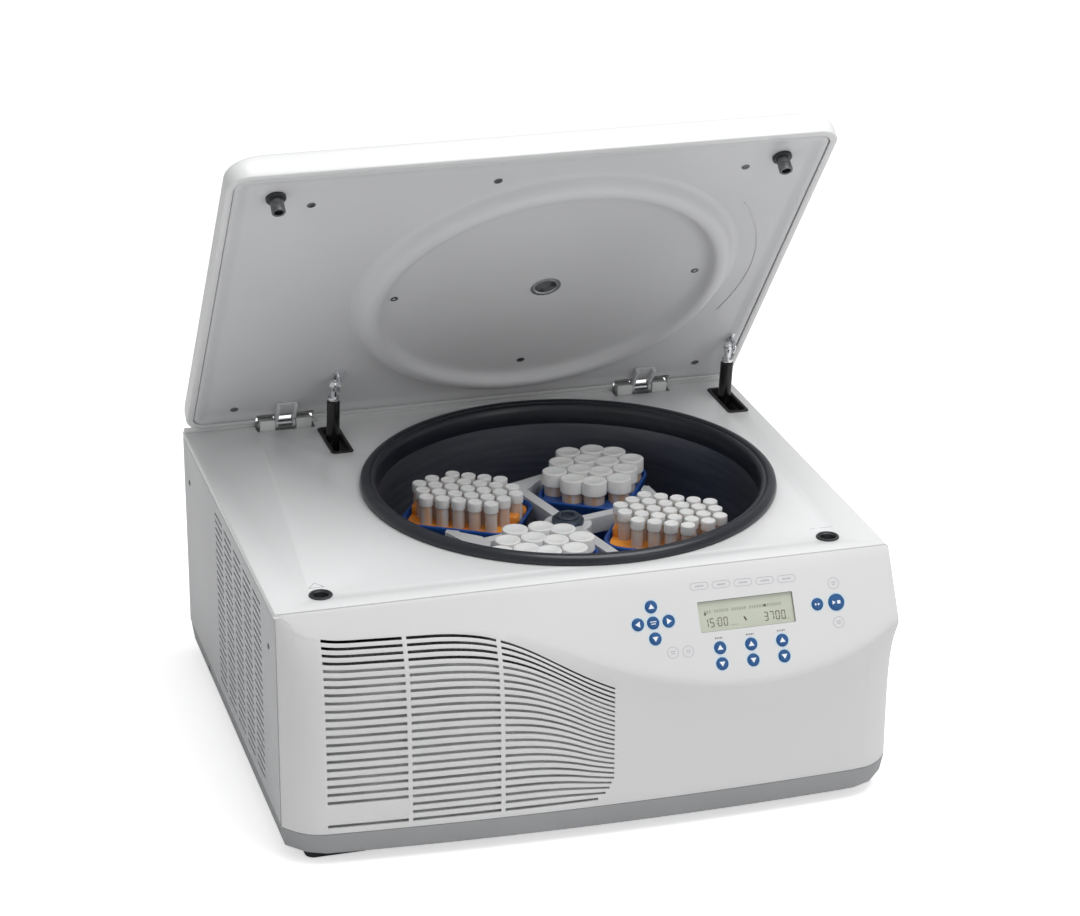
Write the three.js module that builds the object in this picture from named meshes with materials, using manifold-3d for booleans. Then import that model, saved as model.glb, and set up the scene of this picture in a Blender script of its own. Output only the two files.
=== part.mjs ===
// Refrigerated benchtop centrifuge with an opening lid and a swinging-bucket rotor.
// Millimetres, +X right, +Y to the rear, +Z up. Lengths below are measured in the machine's own frame:
// x from its centre plane, y back from the front edge of the deck, z up from the underside of the base.
import * as THREE from 'three';
import { mergeVertices } from 'three/addons/utils/BufferGeometryUtils.js';
import Module from 'manifold-3d';

const wasm = await Module();
wasm.setup();

// ---- driving dimensions ----
const gap = 0.3;
const halfWidth = 370;
const deckTop = 297.2;
const deckThickness = 3;
const bodyRear = 582.5;
const baseHeight = 29;
const footHeight = 12;
const footWidth = 80;
const footDepth = 50;
const skin = 3;
const sheet = 2;

// front fascia: a panel tilted back to the deck, bulging out above an upright louvred front
const panelTilt = THREE.MathUtils.degToRad(29);
const frontBow = 55;
const bowCentre = 90;
const bowReach = 415;
const bowDrop = 20;
const cornerStart = 318;
const cornerReach = 52;
const cornerDepth = 28;
const shoulderHeight = 270;
const bulgeLow = 171;
const bulgeCentre = 190;
const shoulderEnd = -312;

// intake louvres
const louvreLeft = -322;
const louvreRight = 16;
const louvreRibs = [-226, -117];
const ribWidth = 5;
const louvreBottom = 39;
const louvreSpan = 226;
const louvreCount = 24;
const louvreShare = 0.39;
const fanStart = -160;

// side vent
const ventFront = 88;
const ventPitch = 58.5;
const ventSlot = 46.5;
const ventColumns = 5;
const ventBottom = 46.3;
const ventRowPitch = 9.78;
const ventRows = 24;
const ventOpening = 3.8;

// chamber, gasket and rotor
const chamberX = 60.2;
const chamberY = 288.2;
const deckHole = 247;
const bowlInner = 238;
const bowlWall = 3;
const bowlFloor = 94;
const bowlRim = 280.4;
const gasketOuter = 257.5;
const gasketInner = 240.5;
const gasketTop = 309;
const roundSteps = 40;
const rotorTurn = THREE.MathUtils.degToRad(-31);
const shaftRadius = 12;
const armTop = 243;
const armBottom = 222;
const pivotRadius = 130;
const pivotHeight = 229;
const pinRadius = 4;
const bucketHalfWidth = 58;
const bucketHalfLength = 74;
const bucketRim = 236;
const bucketBottom = 162;
const bucketWall = 3;
const capTop = 274;

// lid: r runs forward from the hinge line, h up from the inner face when the lid is shut
const hingeY = 565;
const hingeZ = 301.5;
const lidAngle = THREE.MathUtils.degToRad(50.5);
const linerRise = 8;
const lidFront = 579;
const lidRear = -3;
const lipDrop = 5;
const lidWall = 3;
const lidSideHeight = 9;
const lidEdgeRadius = 27;
const lidCrown = 85;
const bossRadius = 237;
const bossDrop = 18;
const postX = 308.5;
const latchY = 40;
const strutX = [-188, 343];
const strutEyeR = 95;
const strutEyeH = -12;
const anchorY = 538;
const anchorZ = 100;
const hingeX = [-240, 243];

// the origin is the centre of the footprint with the lid up, at the underside of the feet
const originY = 260;

// ---- shape helpers ----
function toSolid(geometry) {
  const bare = geometry.clone();
  bare.deleteAttribute('normal');
  bare.deleteAttribute('uv');
  const merged = mergeVertices(bare, 1e-4);
  const index = Uint32Array.from(merged.index.array);
  const points = Float32Array.from(merged.attributes.position.array);
  return new wasm.Manifold(new wasm.Mesh({ numProp: 3, vertProperties: points, triVerts: index }));
}

function toGeometry(solid) {
  const mesh = solid.getMesh();
  const geometry = new THREE.BufferGeometry();
  geometry.setAttribute('position', new THREE.BufferAttribute(Float32Array.from(mesh.vertProperties), 3));
  geometry.setIndex(new THREE.BufferAttribute(Uint32Array.from(mesh.triVerts), 1));
  geometry.computeVertexNormals();
  return geometry;
}

function join(...shapes) {
  return toGeometry(shapes.map(toSolid).reduce((whole, piece) => whole.add(piece)));
}

function cut(shape, ...tools) {
  return toGeometry(tools.map(toSolid).reduce((whole, tool) => whole.subtract(tool), toSolid(shape)));
}

function block(x0, x1, y0, y1, z0, z1) {
  const geometry = new THREE.BoxGeometry(x1 - x0, y1 - y0, z1 - z0);
  return geometry.translate((x0 + x1) / 2, (y0 + y1) / 2, (z0 + z1) / 2);
}

// a round bar about Z, X or Y between two heights on that axis
function bar(radius, low, high, steps, axis = 'z') {
  const geometry = new THREE.CylinderGeometry(radius, radius, high - low, steps);
  geometry.rotateX(Math.PI / 2).translate(0, 0, (low + high) / 2);
  if (axis === 'x') geometry.rotateY(Math.PI / 2);
  if (axis === 'y') geometry.rotateX(-Math.PI / 2);
  return geometry;
}

// a turned shape about Z from [radius, height] pairs, listed upwards on the outside
function turned(pairs, steps) {
  const geometry = new THREE.LatheGeometry(pairs.map(([r, z]) => new THREE.Vector2(r, z)), steps);
  return geometry.rotateX(Math.PI / 2);
}

// a turned ring, closed back on its first point
function ring(pairs, steps) {
  return turned([...pairs, pairs[0]], steps);
}

function slab(shape, low, high) {
  const geometry = new THREE.ExtrudeGeometry(shape, { depth: high - low, bevelEnabled: false, curveSegments: 6 });
  return geometry.translate(0, 0, low);
}

function roundedShape(halfX, halfY, radius, corner = 3) {
  const points = [];
  for (let side = 0; side < 4; side += 1) {
    const signX = side === 0 || side === 3 ? 1 : -1;
    const signY = side < 2 ? 1 : -1;
    for (let step = 0; step <= corner; step += 1) {
      const angle = (side + step / corner) * Math.PI / 2;
      const x = signX * (halfX - radius) + radius * Math.cos(angle);
      const y = signY * (halfY - radius) + radius * Math.sin(angle);
      points.push(new THREE.Vector2(x, y));
    }
  }
  return new THREE.Shape(points);
}

// ---- groups ----
const group = new THREE.Group();
group.name = 'centrifuge';
const machine = new THREE.Group();
machine.name = 'machine';
machine.position.set(0, -originY, footHeight);
group.add(machine);
const lid = new THREE.Group();
lid.name = 'lid';
lid.position.set(0, hingeY, hingeZ);
lid.rotation.x = -lidAngle;
machine.add(lid);
const rotor = new THREE.Group();
rotor.name = 'rotor';
rotor.position.set(chamberX, chamberY, 0);
rotor.rotation.z = rotorTurn;
machine.add(rotor);

function addPart(parent, name, geometry, color, roughness, metalness) {
  const material = new THREE.MeshStandardMaterial({ color, roughness, metalness });
  const mesh = new THREE.Mesh(geometry, material);
  mesh.name = name;
  parent.add(mesh);
  return mesh;
}

// ---- front surface ----
function bow(x) {
  const corner = Math.max(0, Math.abs(x) - cornerStart) / cornerReach;
  return -frontBow + bowDrop * ((x - bowCentre) / bowReach) ** 2 + cornerDepth * corner ** 2.6;
}

// height of the crease where the tilted panel turns under, along the width; it climbs to the deck at the left corner
function creaseHeight(x) {
  const climb = Math.max(0, shoulderEnd - x) / (halfWidth + shoulderEnd);
  const shoulder = shoulderHeight - 0.04 * (x + 315) + (deckTop - shoulderHeight - 2.2) * climb ** 2.1;
  const spread = x < bulgeCentre ? 0.0011 : 0.0014;
  const belly = bulgeLow + spread * (x - bulgeCentre) ** 2;
  const soft = 9;
  return -soft * Math.log(Math.exp(-shoulder / soft) + Math.exp(-belly / soft));
}

function panelY(z) {
  return -(deckTop - z) * Math.tan(panelTilt);
}

function frontY(x, z) {
  const crease = creaseHeight(x);
  if (z >= crease) return panelY(z);
  const down = (crease - z) / (crease - baseHeight);
  return bow(x) + (panelY(crease) - bow(x)) * (1 - down) ** 5;
}

// height of a louvre row: level at the left, and drawn together below the bulge at the right
function louvreHeight(row, x) {
  const share = row / (louvreCount - 1);
  const level = louvreSpan * (share + 0.24 * share ** 2 * (1 - share));
  const fan = Math.min(1, Math.max(0, (x - fanStart) / (louvreRight - fanStart)));
  const top = creaseHeight(x) - 6 - 20 * fan ** 0.8 - louvreBottom;
  const crowded = level / (1 + (louvreSpan / top - 1) * (level / louvreSpan));
  const even = Math.min(1, Math.max(0, (x + 60) / 71));
  return louvreBottom + (1 - even) * crowded + even * top * share;
}

// a point on the tilted panel, s down its slope and out along its normal
function onPanel(x, s, out = 0) {
  const y = -s * Math.sin(panelTilt) - out * Math.cos(panelTilt);
  const z = deckTop - s * Math.cos(panelTilt) + out * Math.sin(panelTilt);
  return new THREE.Vector3(x, y, z);
}

// the skin's columns, which end at the louvre ribs; the base follows the same places
const columns = [-halfWidth, -360, -346, louvreLeft - 4, ...louvreRibs, -82, -50, -15, louvreRight + 4, 68, 133, 205, 277,
  cornerStart, 344, 358, halfWidth];

// ---- base and feet ----
function baseOutline(inset) {
  const side = halfWidth - inset;
  const points = columns.map((x) => new THREE.Vector2((x * side) / halfWidth, bow(x) + inset));
  points.push(new THREE.Vector2(side, bodyRear - inset), new THREE.Vector2(-side, bodyRear - inset));
  return new THREE.Shape(points);
}

const trayFloor = 4;
const anchorLugs = strutX.flatMap((x) => [
  block(x - 12, x - 6, anchorY - 14, anchorY + 14, trayFloor - 1, anchorZ + 12),
  block(x + 6, x + 12, anchorY - 14, anchorY + 14, trayFloor - 1, anchorZ + 12),
]);
const tray = cut(slab(baseOutline(0), 0, baseHeight), slab(baseOutline(4), trayFloor, baseHeight + 1));
addPart(machine, 'base_tray', join(tray, ...anchorLugs), 0x8e9092, 0.55, 0.05);

for (const [name, x, y] of [
  ['foot_front_left', -304, 12],
  ['foot_front_right', 304, 12],
  ['foot_rear_left', -304, 540],
  ['foot_rear_right', 304, 540],
]) {
  const pad = slab(roundedShape(footWidth / 2, footDepth / 2, 10), -footHeight, -gap);
  addPart(machine, name, pad.translate(x, y, 0), 0x2a2b2d, 0.85, 0);
}

// ---- deck ----
const deckOutline = new THREE.Shape([
  new THREE.Vector2(-halfWidth, skin + 0.6),
  new THREE.Vector2(halfWidth, skin + 0.6),
  new THREE.Vector2(halfWidth, bodyRear),
  new THREE.Vector2(-halfWidth, bodyRear),
]);
const beadHeight = 4;
const rearBead = block(-halfWidth, halfWidth, bodyRear - 10, bodyRear, deckTop - 1, deckTop + beadHeight);
const notchHalf = 38;
const deckCuts = [
  bar(deckHole, deckTop - 10, deckTop + 10, roundSteps).translate(chamberX, chamberY, 0),
  ...[-postX, postX].map((x) => bar(12, deckTop - 10, deckTop + 10, 20).translate(x, latchY, 0)),
  ...strutX.map((x) => block(x - 14, x + 14, 448, 548, deckTop - 10, deckTop + 10)),
  ...hingeX.map((x) => block(x - notchHalf, x + notchHalf, 552, 577.4, deckTop - 10, deckTop + 10)),
];
const deck = cut(join(slab(deckOutline, deckTop - deckThickness, deckTop), rearBead), ...deckCuts);
addPart(machine, 'deck_panel', deck, 0xe4e5e6, 0.3, 0);

// ---- side and rear panels ----
const wallLow = baseHeight + gap;
const wallHigh = deckTop - deckThickness - gap;
for (const [name, side] of [['side_panel_left', -1], ['side_panel_right', 1]]) {
  const outside = side * halfWidth;
  const inside = side * (halfWidth - sheet);
  const fold = side * (halfWidth - 11);
  const low = Math.min(outside, inside);
  const high = Math.max(outside, inside);
  const wall = block(low, high, skin + 0.6, bodyRear, wallLow, wallHigh);
  const flange = block(Math.min(inside, fold) - 0.5, Math.max(inside, fold) + 0.5, 20, 560, wallLow, wallLow + sheet);
  const slots = [];
  for (let slot = 0; side < 0 && slot < ventColumns * ventRows; slot += 1) {
    const y = ventFront + (slot % ventColumns) * ventPitch;
    const z = ventBottom + Math.floor(slot / ventColumns) * ventRowPitch;
    slots.push(block(low - 3, high + 3, y, y + ventSlot, z - ventOpening / 2, z + ventOpening / 2));
  }
  addPart(machine, name, cut(join(wall, flange), ...slots), 0xdcdddd, 0.45, 0.1);
}

const rearEdge = halfWidth - sheet - gap;
const inletX = 262;
const switchX = 312;
const rearPlugZ = 78;
const rearWall = block(-rearEdge, rearEdge, bodyRear - sheet, bodyRear, wallLow + sheet + gap, wallHigh);
const rearCuts = [
  block(inletX - 17.3, inletX + 17.3, bodyRear - 9, bodyRear + 9, rearPlugZ - 13.3, rearPlugZ + 13.3),
  block(switchX - 12.3, switchX + 12.3, bodyRear - 9, bodyRear + 9, rearPlugZ - 16.3, rearPlugZ + 16.3),
];
for (let row = 0; row < 8; row += 1) {
  const z = 150 + row * 12;
  rearCuts.push(block(-310, -190, bodyRear - 9, bodyRear + 9, z, z + 5));
}
addPart(machine, 'rear_panel', cut(rearWall, ...rearCuts), 0xcfd0d1, 0.45, 0.1);

// ---- front fascia with its louvres, display opening and key holes ----
const arrowColumns = { time: 145.4, temperature: 183.7, speed: 222.2 };
const keys = [
  ['key_menu_up', 68.7, 40.1, 7.2],
  ['key_menu_left', 50.2, 58.9, 7.2],
  ['key_menu_enter', 68.8, 58.9, 7.2],
  ['key_menu_right', 87.7, 58.9, 7.2],
  ['key_menu_down', 68.9, 77.5, 7.2],
  ['key_short', 271.4, 60.1, 7.0],
  ['key_start', 295.1, 60.3, 9.7],
];
for (const [column, x] of Object.entries(arrowColumns)) {
  keys.push([`key_${column}_up`, x, 96.8, 7.2], [`key_${column}_down`, x, 115.5, 7.2]);
}
const keyGap = 0.4;
const display = { left: 124.8, right: 242.6, top: 41.2, bottom: 77.2 };

// turns a shape built along Z to stand on the tilted panel
function standOnPanel(geometry, x, s, out = 0) {
  const spot = onPanel(x, s, out);
  return geometry.rotateX(Math.PI / 2 - panelTilt).translate(spot.x, spot.y, spot.z);
}

const fasciaLow = baseHeight + gap;
const fasciaHigh = deckTop;
// the skin's rows follow the crease
const rowsAbove = 2;
const rowsBelow = 5;
const rowCount = rowsAbove + rowsBelow;
const fascia = new THREE.BoxGeometry(columns.length - 1, skin, rowCount, columns.length - 1, 1, rowCount);
const spots = fascia.attributes.position;
for (let i = 0; i < spots.count; i += 1) {
  const x = columns[Math.round(spots.getX(i) + (columns.length - 1) / 2)];
  const row = Math.round(rowCount / 2 - spots.getZ(i));
  const crease = creaseHeight(x);
  const fall = Math.max(0, (row - rowsAbove) / rowsBelow) ** 1.8;
  const z = row <= rowsAbove
    ? fasciaHigh + ((crease - fasciaHigh) * row) / rowsAbove
    : crease + (fasciaLow - crease) * fall;
  spots.setXYZ(i, x, frontY(x, z) + skin / 2 + spots.getY(i), z);
}
const fasciaCuts = [];
const bayEdges = [louvreLeft, ...louvreRibs, louvreRight];
const rowEnds = [-3, 6, 10.5, 13];
for (let row = 0; row < louvreCount; row += 1) {
  for (let bay = 0; bay < 3; bay += 1) {
    const platePlace = bay === 0 && (row === 1 || row === 2);
    if (platePlace) continue;
    const start = bayEdges[bay] + (bay > 0 ? ribWidth / 2 : 0);
    const end = bay < 2 ? bayEdges[bay + 1] - ribWidth / 2 : rowEnds[row] ?? louvreRight;
    const steps = bay < 2 ? 1 : 3;
    const lower = [];
    const upper = [];
    for (let step = 0; step <= steps; step += 1) {
      const x = start + ((end - start) * step) / steps;
      const z = louvreHeight(row, x);
      const next = row < louvreCount - 1 ? louvreHeight(row + 1, x) - z : z - louvreHeight(row - 1, x);
      const half = (louvreShare * next) / 2;
      lower.push(new THREE.Vector2(x, z - half));
      upper.unshift(new THREE.Vector2(x, z + half));
    }
    fasciaCuts.push(slab(new THREE.Shape([...lower, ...upper]), 0, 95).rotateX(Math.PI / 2));
  }
}
for (const [, x, s, radius] of keys) {
  fasciaCuts.push(standOnPanel(bar(radius + keyGap, -12, 12, 10), x, s));
}
const windowWidth = display.right - display.left;
const windowDepth = display.bottom - display.top;
const windowX = (display.left + display.right) / 2;
const windowS = (display.top + display.bottom) / 2;
fasciaCuts.push(standOnPanel(new THREE.BoxGeometry(windowWidth, windowDepth, 24), windowX, windowS));
addPart(machine, 'front_fascia', cut(fascia, ...fasciaCuts), 0xe9eaea, 0.35, 0);

const pane = new THREE.BoxGeometry(windowWidth - 2 * gap, windowDepth - 2 * gap, 1.6);
addPart(machine, 'display_window', standOnPanel(pane, windowX, windowS, -1.6), 0xb9c4a4, 0.25, 0);

for (const [name, x, s, radius] of keys) {
  const button = turned([[0, -5], [radius + 1.4, -5], [radius + 1.4, -4], [radius, -4], [radius, 0.9], [0, 0.9]], 10);
  addPart(machine, name, standOnPanel(button, x, s), 0x1f5f9c, 0.45, 0);
}

// ---- refrigeration and drive inside the housing ----
const coilSlab = block(-325, -35, 0, 22, 48, 236);
const coilBottle = bar(26, 21, 32, 20, 'y').translate(-235, 0, 150);
const coilFeet = [block(-325, -305, 0, 22, trayFloor + gap, 49), block(-55, -35, 0, 22, trayFloor + gap, 49)];
addPart(machine, 'condenser_coil', join(coilSlab, coilBottle, ...coilFeet), 0xa9763f, 0.5, 0.6);

const fanBlades = [];
for (let blade = 0; blade < 5; blade += 1) {
  const vane = new THREE.BoxGeometry(58, 3, 34);
  vane.rotateX(THREE.MathUtils.degToRad(28)).translate(49, 0, 0);
  vane.rotateY((blade * 2 * Math.PI) / 5).translate(0, 42, 0);
  fanBlades.push(vane);
}
const fan = join(bar(24, 32.4, 52, 16, 'y'), ...fanBlades).translate(-235, 0, 150);
addPart(machine, 'condenser_fan', fan, 0x2c2e31, 0.6, 0);

const compressor = turned([[0, 22], [48, 22], [60, 34], [60, 168], [48, 186], [0, 192]], 24);
const compressorFeet = block(-52, 52, -40, 40, trayFloor + gap, 23);
const compressorBody = join(compressor, compressorFeet).translate(-270, 440, 0);
addPart(machine, 'compressor', compressorBody, 0x1d1e20, 0.5, 0.3);

const motorProfile = [[0, 8], [62, 8], [62, 78], [75, 78], [75, 84], [22, 84], [22, 88], [12.4, 88], [12.4, 60], [0, 60]];
const motorFeet = [0, 1, 2].map((foot) => {
  const post = block(56, 72, -8, 8, trayFloor + gap, 20);
  return post.rotateZ((foot * 2 * Math.PI) / 3);
});
const motor = join(turned(motorProfile, 16), ...motorFeet).translate(chamberX, chamberY, 0);
addPart(machine, 'drive_motor', motor, 0x4c5054, 0.5, 0.6);

// ---- chamber ----
const bowlOuter = bowlInner + bowlWall;
const bowlProfile = [
  [28, bowlFloor],
  [198, bowlFloor],
  [228, bowlFloor + 12],
  [bowlOuter, bowlFloor + 40],
  [bowlOuter, bowlRim - 3],
  [255, bowlRim - 3],
  [255, bowlRim],
  [bowlInner, bowlRim],
  [bowlInner, bowlFloor + 41],
  [226, bowlFloor + 15],
  [197, bowlFloor + 3],
  [28, bowlFloor + 3],
];
const bowl = ring(bowlProfile, roundSteps).translate(chamberX, chamberY, 0);
addPart(machine, 'chamber_bowl', bowl, 0x3c4046, 0.35, 0.7);

const gasketProfile = [
  [gasketInner, bowlRim + 1],
  [gasketInner + 3.4, bowlRim + 1],
  [gasketInner + 3.4, deckTop + gap],
  [gasketOuter, deckTop + gap],
  [gasketOuter, gasketTop - 5],
  [gasketOuter - 4, gasketTop - 1],
  [gasketOuter - 9, gasketTop],
  [gasketInner + 1.5, gasketTop - 1],
  [gasketInner, gasketTop - 4],
];
const gasket = ring(gasketProfile, roundSteps).translate(chamberX, chamberY, 0);
addPart(machine, 'chamber_gasket', gasket, 0x1b1d20, 0.6, 0);

// ---- latch sockets in the deck ----
for (const [name, x] of [['latch_socket_left', -postX], ['latch_socket_right', postX]]) {
  const socket = ring([[9.8, 262], [11.4, 262], [11.4, 297.5], [13.2, 297.5], [13.2, 298.9], [9.8, 298.9]], 20);
  addPart(machine, name, socket.translate(x, latchY, 0), 0x35373a, 0.4, 0.6);
}

// ---- rear inlet and switch ----
const inletBody = block(inletX - 17, inletX + 17, bodyRear - 24, bodyRear + 1.2, rearPlugZ - 13, rearPlugZ + 13);
const inletWell = block(inletX - 13, inletX + 13, bodyRear - 16, bodyRear + 3, rearPlugZ - 9, rearPlugZ + 9);
const inletPins = [-7, 0, 7].map((x) => {
  const z = rearPlugZ + (x === 0 ? 3 : -3);
  return block(inletX + x - 1, inletX + x + 1, bodyRear - 17, bodyRear - 3, z - 3, z + 3);
});
addPart(machine, 'power_inlet', join(cut(inletBody, inletWell), ...inletPins), 0x222325, 0.6, 0);

const rockerTilt = THREE.MathUtils.degToRad(8);
const rocker = new THREE.CylinderGeometry(17, 17, 22, 20, 1, false);
rocker.rotateZ(Math.PI / 2).scale(1, 0.62, 0.82);
const rockerBody = cut(rocker, block(-20, 20, -20, -3, -20, 20), block(-20, 20, 7, 20, -20, 20));
rockerBody.rotateX(rockerTilt).translate(switchX, bodyRear - 4, rearPlugZ);
addPart(machine, 'power_switch', rockerBody, 0x1f2022, 0.5, 0);

// ---- hinges ----
const pinBore = 4.4;
const hingePin = 4;
const knuckleIn = 14;
const knuckleOut = 34;
for (const [side, x] of [['left', hingeX[0]], ['right', hingeX[1]]]) {
  const knuckles = [[-knuckleOut, -knuckleIn], [knuckleIn, knuckleOut]].map(([x0, x1]) => {
    return block(x0, x1, hingeY - 9, hingeY + 9, 272, hingeZ + 7.5);
  });
  const web = block(-knuckleOut, knuckleOut, hingeY - 9, hingeY + 9, 272, 284);
  const bore = bar(pinBore, -60, 60, 16, 'x').translate(0, hingeY, hingeZ);
  const bracket = cut(join(...knuckles, web), bore).translate(x, 0, 0);
  addPart(machine, `hinge_bracket_${side}`, bracket, 0xd2d3d4, 0.4, 0.1);
  const pin = bar(hingePin, -knuckleOut - 1, knuckleOut + 1, 16, 'x').translate(x, hingeY, hingeZ);
  addPart(machine, `hinge_pin_${side}`, pin, 0xd9dadc, 0.15, 1);

  const cheeks = [[-13.4, -9.4], [9.4, 13.4]].map(([x0, x1]) => {
    const eye = bar(6.6, x0, x1, 16, 'x');
    const arm = block(x0, x1, -40, 0, -1, linerRise - gap);
    return join(eye, arm);
  });
  const plate = block(-13.4, 13.4, -40, -14, linerRise - 3, linerRise - gap);
  const leafBore = bar(pinBore, -60, 60, 16, 'x');
  const leaf = cut(join(...cheeks, plate), leafBore).translate(x, 0, 0);
  addPart(lid, `lid_hinge_leaf_${side}`, leaf, 0xb9bbbd, 0.35, 0.8);
}

// ---- lid shell: a domed cover, hollow and open towards the chamber ----
function domeRise(inX, inR) {
  const near = Math.max(0, Math.min(inX, inR));
  const t = Math.min(1, near / lidEdgeRadius);
  const edge = lidEdgeRadius * Math.sqrt(1 - (1 - t) ** 2);
  const reach = Math.min(1, Math.max(0, near - 0.5 * lidEdgeRadius) / 215);
  return edge + (lidCrown - lidSideHeight - lidEdgeRadius) * reach ** 2 * (3 - 2 * reach);
}

// crowds the grid lines towards the edges, where the cover turns down
function crowd(t) {
  return Math.sign(t) * (1 - (1 - Math.abs(t)) ** 1.9);
}

function coverSolid(inset, low) {
  const halfX = halfWidth - inset;
  const halfR = (lidFront - lidRear) / 2 - inset;
  const middle = (lidFront + lidRear) / 2;
  const cover = new THREE.BoxGeometry(2, 2, 1, 11, 11, 1);
  const place = cover.attributes.position;
  for (let i = 0; i < place.count; i += 1) {
    const x = crowd(place.getX(i)) * halfX;
    const r = crowd(place.getY(i)) * halfR;
    const top = linerRise + lidSideHeight + domeRise(halfX - Math.abs(x), halfR - Math.abs(r)) - inset;
    place.setXYZ(i, x, r - middle, place.getZ(i) > 0 ? top : low);
  }
  return cover;
}

const lipZ = linerRise - lipDrop;
const lipInset = 9;
const hollow = coverSolid(lidWall, lipZ - 4);
const lipRing = cut(
  block(-halfWidth + 1, halfWidth - 1, -lidFront + 1, -lidRear - 1, lipZ, lipZ + 3),
  block(-halfWidth + lipInset, halfWidth - lipInset, -lidFront + lipInset, 40, lipZ - 2, lipZ + 5),
);
const hingeClear = hingeX.map((x) => block(x - notchHalf, x + notchHalf, -16, 16, -10, 12));
const shell = cut(join(cut(coverSolid(0, lipZ), hollow), lipRing), ...hingeClear);
addPart(lid, 'lid_shell', shell, 0xeceded, 0.35, 0);

// ---- lid liner with its round boss over the chamber ----
const linerHalf = halfWidth - lidWall - 1.2;
const bossY = chamberY - hingeY;
const linerFrontY = -lidFront + lidWall + 1.2;
const linerPlate = block(-linerHalf, linerHalf, linerFrontY, -lidRear - lidWall - 1, linerRise, linerRise + 3);
const bossProfile = [
  [204, linerRise - 2],
  [216, linerRise - bossDrop + 2],
  [221, linerRise - bossDrop],
  [bossRadius - 4, linerRise - bossDrop],
  [bossRadius, linerRise - bossDrop + 4],
  [bossRadius + 3, linerRise + 1],
  [bossRadius + 3, linerRise + 3],
  [204, linerRise + 3],
];
const boss = ring(bossProfile, roundSteps).translate(chamberX, bossY, 0);
const disc = bar(206, linerRise - 2, linerRise + 3, roundSteps).translate(chamberX, bossY, 0);
const eyeLocalY = -strutEyeR;
const eyeLocalZ = linerRise + strutEyeH;
const eyeLugs = strutX.map((x) => {
  const stem = block(x + 4, x + 9, eyeLocalY - 7, eyeLocalY + 7, eyeLocalZ - 7, linerRise + 1);
  const stud = bar(2.6, x - 3, x + 5, 12, 'x').translate(0, eyeLocalY, eyeLocalZ);
  return join(stem, stud);
});
const glassHole = bar(17.3, -20, 30, 24).translate(chamberX, bossY, 0);
addPart(lid, 'lid_liner', cut(join(linerPlate, boss, disc, ...eyeLugs), glassHole, ...hingeClear), 0xaeb0b2, 0.5, 0);

const glass = turned([[0, linerRise - 3.4], [19, linerRise - 3.4], [19, linerRise - 2.3], [17, linerRise - 2.3],
  [17, linerRise + 3], [0, linerRise + 3]], 24);
addPart(lid, 'lid_sight_glass', glass.translate(chamberX, bossY, 0), 0x6d7276, 0.2, 0.3);

for (const [name, x] of [['latch_post_left', -postX], ['latch_post_right', postX]]) {
  const top = linerRise - gap;
  const post = turned([[0, top - 18], [5, top - 18], [5, top - 27], [7.6, top - 27], [7.2, top - 3], [11, top - 2.4],
    [11, top], [0, top]], 20);
  addPart(lid, name, post.translate(x, latchY - hingeY, 0), 0x84878a, 0.3, 0.8);
}

// ---- gas struts ----
const eyeY = hingeY - strutEyeR * Math.cos(lidAngle) + eyeLocalZ * Math.sin(lidAngle);
const eyeZ = hingeZ + strutEyeR * Math.sin(lidAngle) + eyeLocalZ * Math.cos(lidAngle);
const strutLean = Math.atan2(anchorY - eyeY, eyeZ - anchorZ);
const strutSpan = Math.hypot(anchorY - eyeY, eyeZ - anchorZ);
const cylinderTop = 16;
const cylinderEnd = 150;
const rodTop = 134;
const rodRadius = 4;
const cylinderRadius = 7.5;
for (const [side, x] of [['left', strutX[0]], ['right', strutX[1]]]) {
  const eye = cut(
    join(bar(7, -2.6, 2.6, 16, 'x'), block(-2.6, 2.6, -4, 4, -cylinderTop - 2, -3)),
    bar(3, -9, 9, 12, 'x'),
  );
  const barrel = ring([[rodRadius + 0.4, -cylinderEnd], [cylinderRadius, -cylinderEnd], [cylinderRadius, -cylinderTop],
    [0, -cylinderTop], [0, -cylinderTop - 6], [rodRadius + 0.4, -cylinderTop - 6]], 16);
  const cylinder = join(eye, barrel);
  cylinder.rotateX(strutLean).translate(x, eyeY, eyeZ);
  addPart(machine, `strut_cylinder_${side}`, cylinder, 0x17181a, 0.4, 0.3);
  const rodEnd = bar(6, -3, 3, 12, 'x').translate(0, 0, -strutSpan);
  const rod = join(bar(rodRadius, -strutSpan + 4, -rodTop, 12), rodEnd);
  rod.rotateX(strutLean).translate(x, eyeY, eyeZ);
  addPart(machine, `strut_rod_${side}`, rod, 0xc9cbcd, 0.2, 1);
}

// ---- rotor ----
addPart(rotor, 'drive_shaft', bar(shaftRadius, 61, 232, 20), 0x9ea2a6, 0.3, 1);

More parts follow.
